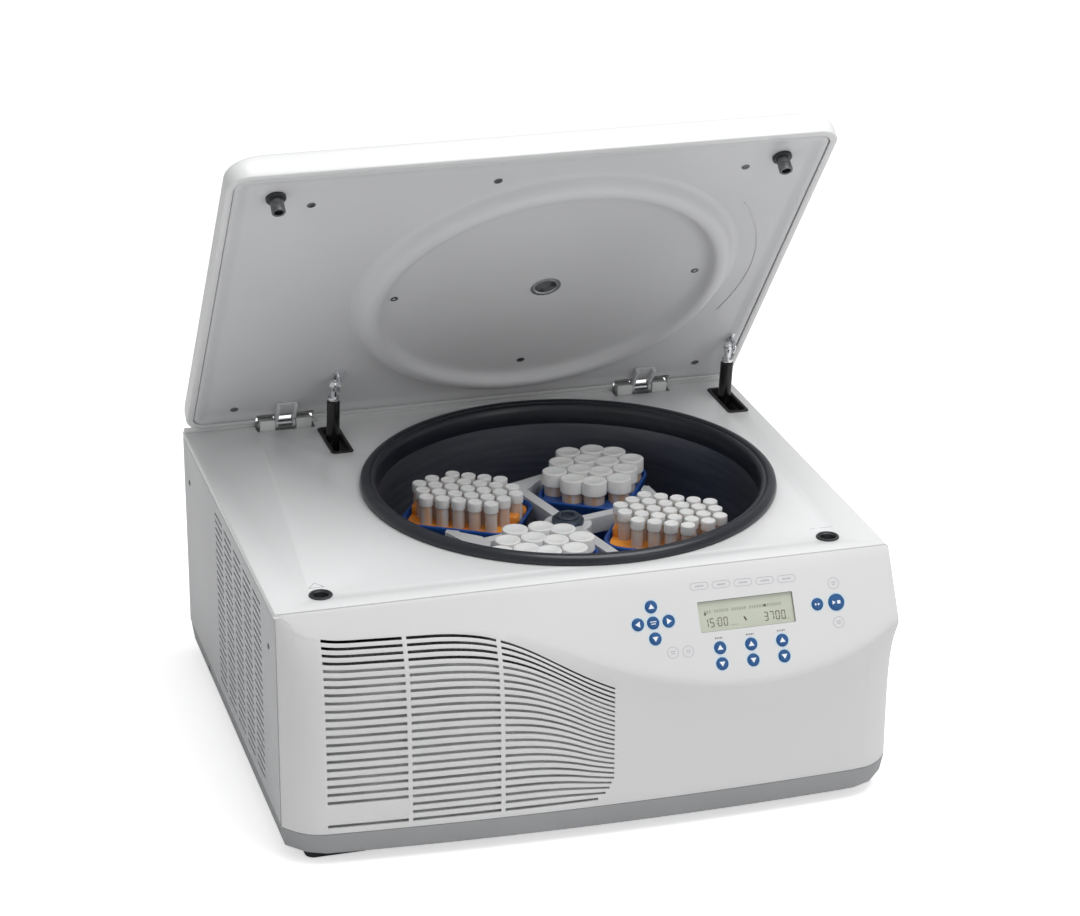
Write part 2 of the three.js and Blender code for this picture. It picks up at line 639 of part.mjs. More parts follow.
const armWidth = 7;
const forkIn = pivotRadius - 8;
const forkOut = pivotRadius + 8;
const pinInner = bucketHalfWidth + 1;
const forkFace = bucketHalfWidth + 7;
const crossPieces = [bar(30, 200, armTop - 2, 20)];
for (let arm = 0; arm < 4; arm += 1) {
  const beam = block(20, 122, -armWidth, armWidth, armBottom, armTop).rotateZ(Math.PI / 4);
  const prongs = [1, -1].map((side) => {
    const outline = side > 0
      ? [[74, 90], [90, 74], [forkOut, forkFace], [forkOut, forkFace + 7], [100, 100]]
      : [[74, 90], [100, 100], [forkFace + 7, forkOut], [forkFace, forkOut]];
    return slab(new THREE.Shape(outline.map(([x, y]) => new THREE.Vector2(x, y))), armBottom, armTop);
  });
  const lugs = [
    block(forkIn, forkOut, forkFace, forkFace + 8, armBottom, armTop),
    block(forkFace, forkFace + 8, forkIn, forkOut, armBottom, armTop),
  ];
  const trunnions = [
    bar(pinRadius, pinInner, forkFace + 2, 12, 'y').translate(pivotRadius, 0, pivotHeight),
    bar(pinRadius, pinInner, forkFace + 2, 12, 'x').translate(0, pivotRadius, pivotHeight),
  ];
  const armSolid = join(beam, ...prongs, ...lugs, ...trunnions);
  crossPieces.push(armSolid.rotateZ((arm * Math.PI) / 2));
}
const hubBore = bar(shaftRadius + gap, 190, 232.4, 24);
addPart(rotor, 'rotor_cross', cut(join(...crossPieces), hubBore), 0xd4d6d8, 0.35, 0.6);

const nutProfile = [[0, armTop - 1.6], [20, armTop - 1.6], [20, armTop + 5], [15, armTop + 9], [9, armTop + 10], [0, armTop + 10]];
addPart(rotor, 'rotor_nut', turned(nutProfile, 24), 0x3a4654, 0.4, 0.7);

// a tapered box-like pot, widest at its rim
function pot(halfX, halfY, radius, low, high, taperX) {
  const body = slab(roundedShape(halfX, halfY, radius), low, high);
  const place = body.attributes.position;
  for (let i = 0; i < place.count; i += 1) {
    const depth = (high - place.getZ(i)) / (high - low);
    place.setX(i, place.getX(i) * (1 - depth * taperX));
  }
  return body;
}

const bucketTaper = 22 / bucketHalfLength;
const smallTube = { radius: 9.4, rows: [4, 6, 7, 6, 5], alongPitch: 21, acrossPitch: 20, steps: 6 };
const largeTube = { radius: 16.2, rows: [3, 4, 4, 3], alongPitch: 34, acrossPitch: 28, steps: 8 };
for (let place = 0; place < 4; place += 1) {
  const turn = (place * Math.PI) / 2;
  const outer = pot(bucketHalfLength, bucketHalfWidth, 28, bucketBottom, bucketRim, bucketTaper);
  const inner = pot(bucketHalfLength - bucketWall, bucketHalfWidth - bucketWall, 25, bucketBottom + bucketWall,
    bucketRim + 2, bucketTaper);
  const ears = [-1, 1].map((side) => {
    const near = bucketHalfWidth - 1;
    const far = bucketHalfWidth + 5;
    const ear = block(-12, 12, near, far, pivotHeight - 14, pivotHeight + 7);
    const slot = block(-pinRadius - 0.4, pinRadius + 0.4, bucketHalfWidth, far + 1, pivotHeight - 20, pivotHeight);
    const seat = bar(pinRadius + 0.4, bucketHalfWidth, far + 1, 16, 'y').translate(0, 0, pivotHeight);
    return cut(ear, slot, seat).rotateZ(side > 0 ? 0 : Math.PI);
  });
  const bucket = join(cut(outer, inner), ...ears).translate(pivotRadius, 0, 0).rotateZ(turn);
  addPart(rotor, `bucket_${place + 1}`, bucket, 0x1d4f93, 0.35, 0.4);

  const tube = place % 2 === 0 ? smallTube : largeTube;
  const rackTop = place % 2 === 0 ? bucketRim + 4 : bucketRim + 12;
  const clear = bucketWall + 1;
  const rackBody = pot(bucketHalfLength - clear, bucketHalfWidth - clear, 24, bucketBottom + clear, rackTop, bucketTaper);
  const caps = [];
  tube.rows.forEach((count, row) => {
    for (let n = 0; n < count; n += 1) {
      const along = (n - (count - 1) / 2) * tube.alongPitch;
      const across = (row - (tube.rows.length - 1) / 2) * tube.acrossPitch;
      caps.push(bar(tube.radius, rackTop - 1, capTop, tube.steps).translate(along, across, 0));
    }
  });
  const rack = join(rackBody, ...caps).translate(pivotRadius, 0, 0).rotateZ(turn);
  addPart(rotor, `tube_rack_${place + 1}`, rack, place % 2 === 0 ? 0xd98a3a : 0xe6e8ea, 0.5, 0);
}

export default group;
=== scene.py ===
# The looks of a refrigerated benchtop centrifuge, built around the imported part.
import math

import bpy
from mathutils import Matrix, Vector


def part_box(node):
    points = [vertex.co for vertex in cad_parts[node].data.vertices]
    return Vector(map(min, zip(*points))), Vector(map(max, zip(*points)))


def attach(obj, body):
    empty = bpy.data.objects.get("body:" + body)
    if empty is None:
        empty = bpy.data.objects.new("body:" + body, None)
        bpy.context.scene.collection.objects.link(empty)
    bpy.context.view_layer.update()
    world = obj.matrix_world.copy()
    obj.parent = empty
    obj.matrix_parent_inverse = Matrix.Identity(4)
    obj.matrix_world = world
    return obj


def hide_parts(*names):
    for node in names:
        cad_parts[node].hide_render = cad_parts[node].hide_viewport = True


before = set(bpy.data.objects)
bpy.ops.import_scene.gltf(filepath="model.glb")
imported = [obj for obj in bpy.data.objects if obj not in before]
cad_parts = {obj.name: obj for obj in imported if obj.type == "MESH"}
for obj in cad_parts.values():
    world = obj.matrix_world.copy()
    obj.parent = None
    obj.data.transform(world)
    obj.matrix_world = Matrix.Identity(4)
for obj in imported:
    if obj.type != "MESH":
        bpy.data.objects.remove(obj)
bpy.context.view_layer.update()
bpy.ops.object.select_all(action="DESELECT")
mm = 0.001

# Pieces are drawn in millimetres about their own frame, then set in place in their mesh.
# Machine frame: x from the centre plane, y back from the deck's front edge, z up from the base's underside.
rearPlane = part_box("rear_panel")[1].y
machinePlace = Matrix.Translation((0, rearPlane - 582.5 * mm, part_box("base_tray")[0].z))
chamberLow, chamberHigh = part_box("chamber_bowl")
chamber = machinePlace.inverted() @ ((chamberLow + chamberHigh) / 2) / mm
deckTop = (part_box("front_fascia")[1].z - machinePlace.translation.z) / mm
hinge = {"y": 565, "z": 301.5, "openAngle": math.radians(50.5), "linerRise": 8}
lidPlace = machinePlace @ Matrix.Translation((0, hinge["y"] * mm, hinge["z"] * mm))
lidPlace = lidPlace @ Matrix.Rotation(-hinge["openAngle"], 4, "X")
rotorPlace = machinePlace @ Matrix.Translation((chamber.x * mm, chamber.y * mm, 0))
rotorPlace = rotorPlace @ Matrix.Rotation(math.radians(-31), 4, "Z")
chamberPlace = machinePlace @ Matrix.Translation((chamber.x * mm, chamber.y * mm, 0))


# ---- tools of the bench ----
def report(stage):
    print("made", stage)


def take(piece):
    bpy.ops.object.select_all(action="DESELECT")
    piece.select_set(True)
    bpy.context.view_layer.objects.active = piece


def newPiece(name):
    piece = bpy.context.object
    piece.name = name
    piece.data.name = name
    return piece


def addBlock(name, low, high):
    centre = [(a + b) / 2 * mm for a, b in zip(low, high)]
    size = [(b - a) * mm for a, b in zip(low, high)]
    bpy.ops.mesh.primitive_cube_add(size=1, location=centre, scale=size)
    bpy.ops.object.transform_apply(location=True, rotation=True, scale=True)
    return newPiece(name)


def addRound(name, radius, low, high, spot=(0, 0, 0), axis="z", sides=48, tip=None):
    turn = {"z": (0, 0, 0), "x": (0, math.pi / 2, 0), "y": (-math.pi / 2, 0, 0)}[axis]
    reach = Vector({"z": (0, 0, 1), "x": (1, 0, 0), "y": (0, 1, 0)}[axis]) * (low + high) / 2
    bpy.ops.mesh.primitive_cone_add(
        vertices=sides, radius1=radius * mm, radius2=(radius if tip is None else tip) * mm,
        depth=(high - low) * mm, location=(Vector(spot) + reach) * mm, rotation=turn)
    bpy.ops.object.transform_apply(location=True, rotation=True, scale=True)
    return newPiece(name)


def addOutline(name, points):
    bpy.ops.mesh.primitive_circle_add(vertices=len(points), radius=0.01, fill_type="NOTHING")
    piece = newPiece(name)
    for corner, point in zip(piece.data.vertices, points):
        corner.co = Vector(point) * mm
    return piece


def pick(piece, kind, test=None):
    mesh = piece.data
    take(piece)
    for group in (mesh.vertices, mesh.edges, mesh.polygons):
        group.foreach_set("select", [False] * len(group))
    if kind == "points":
        for point in mesh.vertices:
            point.select = test is None or test(point.co / mm)
    elif kind == "edges":
        for edge in mesh.edges:
            a, b = (mesh.vertices[v].co / mm for v in edge.vertices)
            edge.select = test is None or test(a, b)
    else:
        for face in mesh.polygons:
            face.select = test is None or test(face)
    bpy.context.tool_settings.mesh_select_mode = (kind == "points", kind == "edges", kind == "faces")
    bpy.ops.object.mode_set(mode="EDIT")


def leave():
    bpy.ops.object.mode_set(mode="OBJECT")


def closeUp(piece):
    pick(piece, "points")
    bpy.ops.mesh.remove_doubles(threshold=1e-6)
    bpy.ops.mesh.normals_make_consistent(inside=False)
    leave()


def raiseOutline(name, points, height):
    piece = addOutline(name, points)
    pick(piece, "edges")
    bpy.ops.mesh.edge_face_add()
    bpy.ops.mesh.extrude_region_move(TRANSFORM_OT_translate={"value": (0, 0, height * mm)})
    leave()
    closeUp(piece)
    return piece


def spinOutline(name, profile, steps=96, spot=(0, 0, 0), axis="z"):
    piece = addOutline(name, [(radius, 0, height) for radius, height in profile])
    pick(piece, "points")
    bpy.ops.mesh.spin(steps=steps, angle=2 * math.pi, center=(0, 0, 0), axis=(0, 0, 1))
    leave()
    closeUp(piece)
    turn = {"z": Matrix(), "x": Matrix.Rotation(math.pi / 2, 4, "Y"),
            "y": Matrix.Rotation(-math.pi / 2, 4, "X")}
    piece.data.transform(Matrix.Translation(Vector(spot) * mm) @ turn[axis])
    return piece


def roundedLoop(halfX, halfY, radius, steps=6, centre=(0, 0), z=0):
    points = []
    for quarter, (signX, signY) in enumerate([(1, 1), (-1, 1), (-1, -1), (1, -1)]):
        for step in range(steps + 1):
            angle = (quarter + step / steps) * math.pi / 2
            points.append((centre[0] + signX * (halfX - radius) + radius * math.cos(angle),
                           centre[1] + signY * (halfY - radius) + radius * math.sin(angle), z))
    return points


def applyAll(piece):
    take(piece)
    for modifier in list(piece.modifiers):
        bpy.ops.object.modifier_apply(modifier=modifier.name)


def bevelled(piece, width, segments=2, angle=40):
    bevel = piece.modifiers.new("bevel", "BEVEL")
    bevel.width = width * mm
    bevel.segments = segments
    bevel.limit_method = "ANGLE"
    bevel.angle_limit = math.radians(angle)
    applyAll(piece)
    return piece


def joined(name, pieces):
    take(pieces[0])
    for piece in pieces:
        piece.select_set(True)
    if len(pieces) > 1:
        bpy.ops.object.join()
    return newPiece(name)


def carved(piece, tools):
    tool = joined("tool", tools)
    cut = piece.modifiers.new("cut", "BOOLEAN")
    cut.operation = "DIFFERENCE"
    cut.solver = "EXACT"
    cut.object = tool
    applyAll(piece)
    bpy.data.objects.remove(tool)
    return piece


def copied(piece, name, change=None):
    twin = piece.copy()
    twin.data = piece.data.copy()
    twin.name = name
    twin.data.name = name
    bpy.context.scene.collection.objects.link(twin)
    if change is not None:
        twin.data.transform(change)
    return twin


def dressed(piece, finish):
    piece.data.materials.clear()
    piece.data.materials.append(finish)
    return piece


def softened(piece, angle=35):
    take(piece)
    bpy.ops.object.shade_smooth_by_angle(angle=math.radians(angle))
    return piece


def setPiece(piece, place, body, stands=(), angle=35):
    piece.data.transform(place)
    softened(piece, angle)
    if stands:
        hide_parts(*stands)
    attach(piece, body)
    return piece


def nodeCopy(name, node, width=0.6, segments=2, angle=30):
    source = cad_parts[node]
    piece = bpy.data.objects.new(name, source.data.copy())
    bpy.context.scene.collection.objects.link(piece)
    closeUp(piece)
    pick(piece, "faces")
    bpy.ops.mesh.dissolve_limited(angle_limit=math.radians(2))
    leave()
    return bevelled(piece, width, segments, angle)


# ---- finishes ----
def newGroup(name, inputs, outputs):
    group = bpy.data.node_groups.new(name, "ShaderNodeTree")
    for label, kind, value in inputs:
        socket = group.interface.new_socket(name=label, in_out="INPUT", socket_type=kind)
        if value is not None:
            socket.default_value = value
    for label, kind in outputs:
        group.interface.new_socket(name=label, in_out="OUTPUT", socket_type=kind)
    return group, group.nodes.new("NodeGroupInput"), group.nodes.new("NodeGroupOutput")


def addNode(tree, kind, **values):
    node = tree.nodes.new(kind)
    for label, value in values.items():
        setattr(node, label, value)
    return node


def mixColour(tree, factor, first, second):
    mix = addNode(tree, "ShaderNodeMix", data_type="RGBA")
    tree.links.new(factor, mix.inputs["Factor"])
    tree.links.new(first, mix.inputs["A"])
    tree.links.new(second, mix.inputs["B"])
    return mix.outputs["Result"]


def buildGrain():
    # slow patches of a second colour, with a fine grain for roughness and height
    group, given, made = newGroup("surfaceGrain", [
        ("Place", "NodeSocketVector", None), ("Colour", "NodeSocketColor", None),
        ("Patch Colour", "NodeSocketColor", None), ("Patch Scale", "NodeSocketFloat", 6.0),
        ("Grain Scale", "NodeSocketFloat", 900.0), ("Roughness", "NodeSocketFloat", 0.4),
        ("Spread", "NodeSocketFloat", 0.1),
    ], [("Colour", "NodeSocketColor"), ("Roughness", "NodeSocketFloat"), ("Height", "NodeSocketFloat")])
    links = group.links
    patch = addNode(group, "ShaderNodeTexNoise")
    patch.inputs["Detail"].default_value = 4
    links.new(given.outputs["Place"], patch.inputs["Vector"])
    links.new(given.outputs["Patch Scale"], patch.inputs["Scale"])
    spread = addNode(group, "ShaderNodeMapRange")
    spread.inputs["From Min"].default_value = 0.35
    spread.inputs["From Max"].default_value = 0.65
    links.new(patch.outputs["Fac"], spread.inputs["Value"])
    colour = mixColour(group, spread.outputs["Result"], given.outputs["Colour"], given.outputs["Patch Colour"])
    links.new(colour, made.inputs["Colour"])
    grain = addNode(group, "ShaderNodeTexNoise")
    grain.inputs["Detail"].default_value = 3
    links.new(given.outputs["Place"], grain.inputs["Vector"])
    links.new(given.outputs["Grain Scale"], grain.inputs["Scale"])
    centred = addNode(group, "ShaderNodeMath", operation="SUBTRACT")
    centred.inputs[1].default_value = 0.5
    links.new(grain.outputs["Fac"], centred.inputs[0])
    rough = addNode(group, "ShaderNodeMath", operation="MULTIPLY_ADD", use_clamp=True)
    links.new(centred.outputs[0], rough.inputs[0])
    links.new(given.outputs["Spread"], rough.inputs[1])
    links.new(given.outputs["Roughness"], rough.inputs[2])
    links.new(rough.outputs[0], made.inputs["Roughness"])
    links.new(grain.outputs["Fac"], made.inputs["Height"])
    return group


def buildDust():
    # a thin film that settles on faces that look up
    group, given, made = newGroup("dustFall", [
        ("Place", "NodeSocketVector", None), ("Colour", "NodeSocketColor", None),
        ("Dust", "NodeSocketColor", (0.62, 0.6, 0.57, 1)), ("Amount", "NodeSocketFloat", 0.1),
    ], [("Colour", "NodeSocketColor"), ("Film", "NodeSocketFloat")])
    links = group.links
    shape = addNode(group, "ShaderNodeNewGeometry")
    split = addNode(group, "ShaderNodeSeparateXYZ")
    links.new(shape.outputs["Normal"], split.inputs[0])
    specks = addNode(group, "ShaderNodeTexNoise")
    specks.inputs["Scale"].default_value = 45
    specks.inputs["Detail"].default_value = 6
    links.new(given.outputs["Place"], specks.inputs["Vector"])
    upward = addNode(group, "ShaderNodeMath", operation="MULTIPLY", use_clamp=True)
    links.new(split.outputs["Z"], upward.inputs[0])
    links.new(specks.outputs["Fac"], upward.inputs[1])
    film = addNode(group, "ShaderNodeMath", operation="MULTIPLY", use_clamp=True)
    links.new(upward.outputs[0], film.inputs[0])
    links.new(given.outputs["Amount"], film.inputs[1])
    links.new(film.outputs[0], made.inputs["Film"])
    links.new(mixColour(group, film.outputs[0], given.outputs["Colour"], given.outputs["Dust"]),
              made.inputs["Colour"])
    return group


grainGroup = buildGrain()
dustGroup = buildDust()


def newFinish(name, colour, patchColour, roughness, spread=0.08, patch=5, grain=700, stretch=(1, 1, 1),
              bump=0.05, depth=0.0002, dust=0.0, **sockets):
    finish = bpy.data.materials.new(name)
    finish.use_nodes = True
    tree = finish.node_tree
    shader = tree.nodes["Principled BSDF"]
    where = addNode(tree, "ShaderNodeTexCoord")
    mapping = addNode(tree, "ShaderNodeMapping")
    mapping.inputs["Scale"].default_value = stretch
    tree.links.new(where.outputs["Object"], mapping.inputs["Vector"])
    surface = addNode(tree, "ShaderNodeGroup", node_tree=grainGroup)
    surface.inputs["Colour"].default_value = (*colour, 1)
    surface.inputs["Patch Colour"].default_value = (*patchColour, 1)
    surface.inputs["Patch Scale"].default_value = patch
    surface.inputs["Grain Scale"].default_value = grain
    surface.inputs["Roughness"].default_value = roughness
    surface.inputs["Spread"].default_value = spread
    tree.links.new(mapping.outputs["Vector"], surface.inputs["Place"])
    colourOut = surface.outputs["Colour"]
    if dust:
        film = addNode(tree, "ShaderNodeGroup", node_tree=dustGroup)
        film.inputs["Amount"].default_value = dust
        tree.links.new(where.outputs["Object"], film.inputs["Place"])
        tree.links.new(colourOut, film.inputs["Colour"])
        colourOut = film.outputs["Colour"]
    tree.links.new(colourOut, shader.inputs["Base Color"])
    tree.links.new(surface.outputs["Roughness"], shader.inputs["Roughness"])
    height = addNode(tree, "ShaderNodeBump")
    height.inputs["Strength"].default_value = bump
    height.inputs["Distance"].default_value = depth
    tree.links.new(surface.outputs["Height"], height.inputs["Height"])
    tree.links.new(height.outputs["Normal"], shader.inputs["Normal"])
    for label, value in sockets.items():
        shader.inputs[label.replace("_", " ")].default_value = value
    return finish


whitePaint = newFinish("whitePaint", (0.78, 0.785, 0.79), (0.75, 0.755, 0.76), 0.3, patch=4, grain=420,
                       bump=0.06,
                       dust=0.05, Coat_Weight=0.25, Coat_Roughness=0.12)
sidePaint = newFinish("sidePaint", (0.58, 0.585, 0.595), (0.55, 0.555, 0.565), 0.45, patch=5, grain=500,
                      bump=0.1)
frontPlastic = newFinish("frontPlastic", (0.72, 0.72, 0.72), (0.7, 0.7, 0.7), 0.38, patch=4, grain=1400,
                         bump=0.1)
basePlastic = newFinish("basePlastic", (0.34, 0.345, 0.355), (0.315, 0.32, 0.33), 0.5, patch=7, grain=1500,
                        bump=0.15)
linerPlastic = newFinish("linerPlastic", (0.68, 0.685, 0.695), (0.65, 0.655, 0.665), 0.42, patch=4, grain=900,
                         bump=0.08)
lidPlastic = newFinish("lidPlastic", (0.78, 0.785, 0.79), (0.755, 0.76, 0.765), 0.32, patch=4, grain=900,
                       bump=0.06,
                       dust=0.06)
rubberBlack = newFinish("rubberBlack", (0.011, 0.013, 0.019), (0.016, 0.018, 0.025), 0.3, spread=0.15, patch=20,
                        grain=1800, bump=0.12)
bootRubber = newFinish("bootRubber", (0.008, 0.008, 0.009), (0.014, 0.014, 0.015), 0.55, spread=0.15, patch=30,
                       grain=1500, bump=0.2)
blackPlastic = newFinish("blackPlastic", (0.02, 0.021, 0.023), (0.03, 0.031, 0.034), 0.45, patch=30,
                         grain=1600, bump=0.12)
blackPaint = newFinish("blackPaint", (0.004, 0.004, 0.005), (0.008, 0.008, 0.009), 0.25, patch=30, grain=900,
                       bump=0.05)
chamberSteel = newFinish("chamberSteel", (0.36, 0.37, 0.4), (0.28, 0.29, 0.32), 0.36, spread=0.1, patch=10,
                         grain=60, stretch=(1, 1, 12), bump=0.04, Metallic=0.92)
satinSteel = newFinish("satinSteel", (0.56, 0.57, 0.58), (0.47, 0.48, 0.49), 0.3, spread=0.2, patch=30,
                       grain=300,
                       stretch=(1, 1, 14), bump=0.06, Metallic=1.0)
darkSteel = newFinish("darkSteel", (0.2, 0.205, 0.21), (0.15, 0.155, 0.16), 0.35, spread=0.2, patch=30,
                      grain=300,
                      stretch=(1, 1, 14), bump=0.06, Metallic=0.9)
chromePlate = newFinish("chromePlate", (0.8, 0.81, 0.83), (0.72, 0.73, 0.75), 0.1, spread=0.08, patch=60,
                        grain=900,
                        bump=0.02, Metallic=1.0)
rotorPaint = newFinish("rotorPaint", (0.72, 0.73, 0.74), (0.64, 0.65, 0.66), 0.36, spread=0.12, patch=24,
                       grain=600,
                       bump=0.08, Metallic=0.15)
nutMetal = newFinish("nutMetal", (0.055, 0.075, 0.1), (0.08, 0.1, 0.13), 0.35, spread=0.15, patch=60, grain=700,
                     bump=0.06, Metallic=0.7)
bucketBlue = newFinish("bucketBlue", (0.012, 0.09, 0.38), (0.01, 0.075, 0.32), 0.3, spread=0.12, patch=18,
                       grain=900,
                       bump=0.08, Metallic=0.25)
motorMetal = newFinish("motorMetal", (0.07, 0.075, 0.08), (0.1, 0.105, 0.11), 0.45, patch=20, grain=300,
                       bump=0.1,
                       Metallic=0.7)
coilFins = newFinish("coilFins", (0.5, 0.5, 0.49), (0.3, 0.3, 0.29), 0.4, spread=0.2, patch=60, grain=500,
                     stretch=(12, 1, 0.3), bump=0.2, Metallic=0.4)
matPale = newFinish("matPale", (0.72, 0.725, 0.73), (0.45, 0.455, 0.46), 0.7, spread=0.2, patch=14, grain=260,
                    stretch=(1, 1, 3), bump=0.3)
keyBlue = newFinish("keyBlue", (0.008, 0.09, 0.27), (0.007, 0.075, 0.235), 0.35, patch=90, grain=2500,
                    bump=0.05)
keyHalo = newFinish("keyHalo", (0.6, 0.76, 0.88), (0.55, 0.72, 0.85), 0.4, patch=90, grain=2500, bump=0.03)
symbolWhite = newFinish("symbolWhite", (0.86, 0.9, 0.93), (0.82, 0.86, 0.9), 0.4, patch=90, grain=2500,
                        bump=0.03)
printGrey = newFinish("printGrey", (0.25, 0.25, 0.29), (0.2, 0.2, 0.24), 0.45, patch=200, grain=2500, bump=0.03)
printPale = newFinish("printPale", (0.42, 0.42, 0.5), (0.38, 0.38, 0.45), 0.45, patch=200, grain=2500,
                      bump=0.03)
glassPale = newFinish("glassPale", (0.52, 0.55, 0.46), (0.49, 0.52, 0.43), 0.22, spread=0.04, patch=30,
                      grain=2600,
                      bump=0.03, Coat_Weight=0.4, Coat_Roughness=0.08)
digitBrown = newFinish("digitBrown", (0.085, 0.06, 0.045), (0.11, 0.08, 0.06), 0.4, patch=300, grain=2500,
                       bump=0.02)
digitFaint = newFinish("digitFaint", (0.33, 0.34, 0.28), (0.37, 0.38, 0.31), 0.4, patch=300, grain=2500,
                       bump=0.02)
sightGlass = newFinish("sightGlass", (0.02, 0.022, 0.025), (0.04, 0.042, 0.045), 0.08, patch=40, grain=1200,
                       bump=0.02,
                       Coat_Weight=0.6, Coat_Roughness=0.04)
capWhite = newFinish("capWhite", (0.8, 0.8, 0.79), (0.74, 0.745, 0.74), 0.42, patch=40, grain=1100, bump=0.08,
                     Subsurface_Weight=0.08, Subsurface_Scale=0.004)
tubeClear = newFinish("tubeClear", (0.74, 0.74, 0.75), (0.8, 0.5, 0.3), 0.16, spread=0.1, patch=30, grain=300,
                      stretch=(3, 3, 0.25), bump=0.04, Transmission_Weight=0.25, IOR=1.35)
rackAmber = newFinish("rackAmber", (0.85, 0.33, 0.04), (0.7, 0.22, 0.03), 0.32, spread=0.1, patch=25,
                      grain=700, bump=0.06)
rackBlue = newFinish("rackBlue", (0.03, 0.09, 0.3), (0.025, 0.075, 0.26), 0.35, spread=0.1, patch=25,
                      grain=700, bump=0.06)
floorPaper = newFinish("floorPaper", (0.93, 0.93, 0.93), (0.92, 0.92, 0.92), 0.7, patch=0.6, grain=60,
                       bump=0.02,
                       Emission_Strength=0.55)
# the paper glows to the eye alone, so that it doesn't light the machine from below
paperTree = floorPaper.node_tree
sight = addNode(paperTree, "ShaderNodeLightPath")
black, white = (addNode(paperTree, "ShaderNodeRGB") for _ in range(2))
black.outputs[0].default_value = (0, 0, 0, 1)
white.outputs[0].default_value = (1, 1, 1, 1)
glow = mixColour(paperTree, sight.outputs["Is Camera Ray"], black.outputs[0], white.outputs[0])
paperTree.links.new(glow, paperTree.nodes["Principled BSDF"].inputs["Emission Color"])
report("finishes")

# ---- camera, light and floor ----
shot = {"place": (-985.2, -3168.6, 1806.2), "azimuth": -16.27, "elevation": 22.26, "roll": 0.29, "lens": 105.14}
azimuth, elevation = math.radians(shot["azimuth"]), math.radians(shot["elevation"])
back = Vector((math.sin(azimuth) * math.cos(elevation), -math.cos(azimuth) * math.cos(elevation),
               math.sin(elevation)))
bpy.ops.object.camera_add(location=machinePlace @ (Vector(shot["place"]) * mm))
camera = bpy.context.object
camera.data.lens = shot["lens"]
camera.data.sensor_width = 36
camera.data.clip_end = 100
camera.rotation_mode = "QUATERNION"
rolled = Matrix.Rotation(math.radians(shot["roll"]), 3, "Z").to_quaternion()
camera.rotation_quaternion = (-back).to_track_quat("-Z", "Y") @ rolled
bpy.context.scene.camera = camera

lamps = [  # name, place, aimed at, width, watts
    ("overheadLight", (0.5, -0.4, 2.6), (0, 0, 0.3), 2.2, 47),
    ("frontLight", (1.6, -3.0, 1.6), (0, 0, 0.25), 1.8, 8),
    ("leftLight", (-2.6, -1.6, 1.5), (0, 0, 0.3), 1.5, 1),
]
for name, spot, aim, width, watts in lamps:
    bpy.ops.object.light_add(type="AREA", location=spot)
    lamp = bpy.context.object
    lamp.name = name
    lamp.data.shape = "DISK"
    lamp.data.size = width
    lamp.data.energy = watts
    lamp.rotation_euler = (Vector(aim) - Vector(spot)).to_track_quat("-Z", "Y").to_euler()
world = bpy.data.worlds.new("paleStudio")
bpy.context.scene.world = world
world.use_nodes = True
world.node_tree.nodes["Background"].inputs["Color"].default_value = (1, 1, 1, 1)
world.node_tree.nodes["Background"].inputs["Strength"].default_value = 0.47
bpy.context.scene.view_settings.view_transform = "Standard"

bpy.ops.mesh.primitive_circle_add(vertices=96, radius=14, fill_type="NGON", location=(0, 0, -0.0005))
bpy.ops.object.transform_apply(location=True, rotation=True, scale=True)
floor = dressed(newPiece("floor"), floorPaper)
report("camera, light and floor")


# ---- the front moulding ----
front = {
    "tilt": math.radians(29), "bow": 55, "bowCentre": 90, "bowReach": 415, "bowDrop": 20,
    "cornerStart": 318, "cornerReach": 52, "cornerDepth": 28,
    "shoulder": 270, "bulgeLow": 171, "bulgeCentre": 190, "climbStart": -312,
    "half": 370, "low": 29.6, "skin": 3, "softness": 5.5,
    "louvreLeft": -322, "louvreRight": 16, "ribs": (-226, -117), "ribWidth": 5, "louvreLow": 39,
    "louvreSpan": 226,
    "louvres": 24, "share": 0.42, "rowEnds": (-3, 6, 10.5, 13), "plateRows": (1, 2), "mouldLine": 328,
}


def bow(x):
    corner = max(0, abs(x) - front["cornerStart"]) / front["cornerReach"]
    return -front["bow"] + front["bowDrop"] * ((x - front["bowCentre"]) / front["bowReach"]) ** 2 \
        + front["cornerDepth"] * corner ** 2.6


def creaseHeight(x):
    climb = max(0, front["climbStart"] - x) / (front["half"] + front["climbStart"])
    shoulder = front["shoulder"] - 0.04 * (x + 315) + (deckTop - front["shoulder"] - 2.2) * climb ** 2.1
    spread = 0.0011 if x < front["bulgeCentre"] else 0.0014
    belly = front["bulgeLow"] + spread * (x - front["bulgeCentre"]) ** 2
    soft = 9
    return -soft * math.log(math.exp(-shoulder / soft) + math.exp(-belly / soft))


def panelY(z):
    return -(deckTop - z) * math.tan(front["tilt"])


def frontY(x, z):
    crease = creaseHeight(x)
    if z >= crease:
        return panelY(z)
    down = (crease - z) / (crease - 29)
    return bow(x) + (panelY(crease) - bow(x)) * (1 - down) ** 5


def softFront(x, z):
    shifts = [step / 4 * front["softness"] for step in range(-4, 5)]
    return sum(frontY(x, z + shift) for shift in shifts) / len(shifts)


def onPanel(x, s, out=0):
    y = -s * math.sin(front["tilt"]) - out * math.cos(front["tilt"])
    return Vector((x, y, deckTop - s * math.cos(front["tilt"]) + out * math.sin(front["tilt"])))


def panelPlace(x, s, out=0):
    tilt = Matrix.Rotation(math.pi / 2 - front["tilt"], 4, "X")
    return machinePlace @ Matrix.Translation(onPanel(x, s, out) * mm) @ tilt


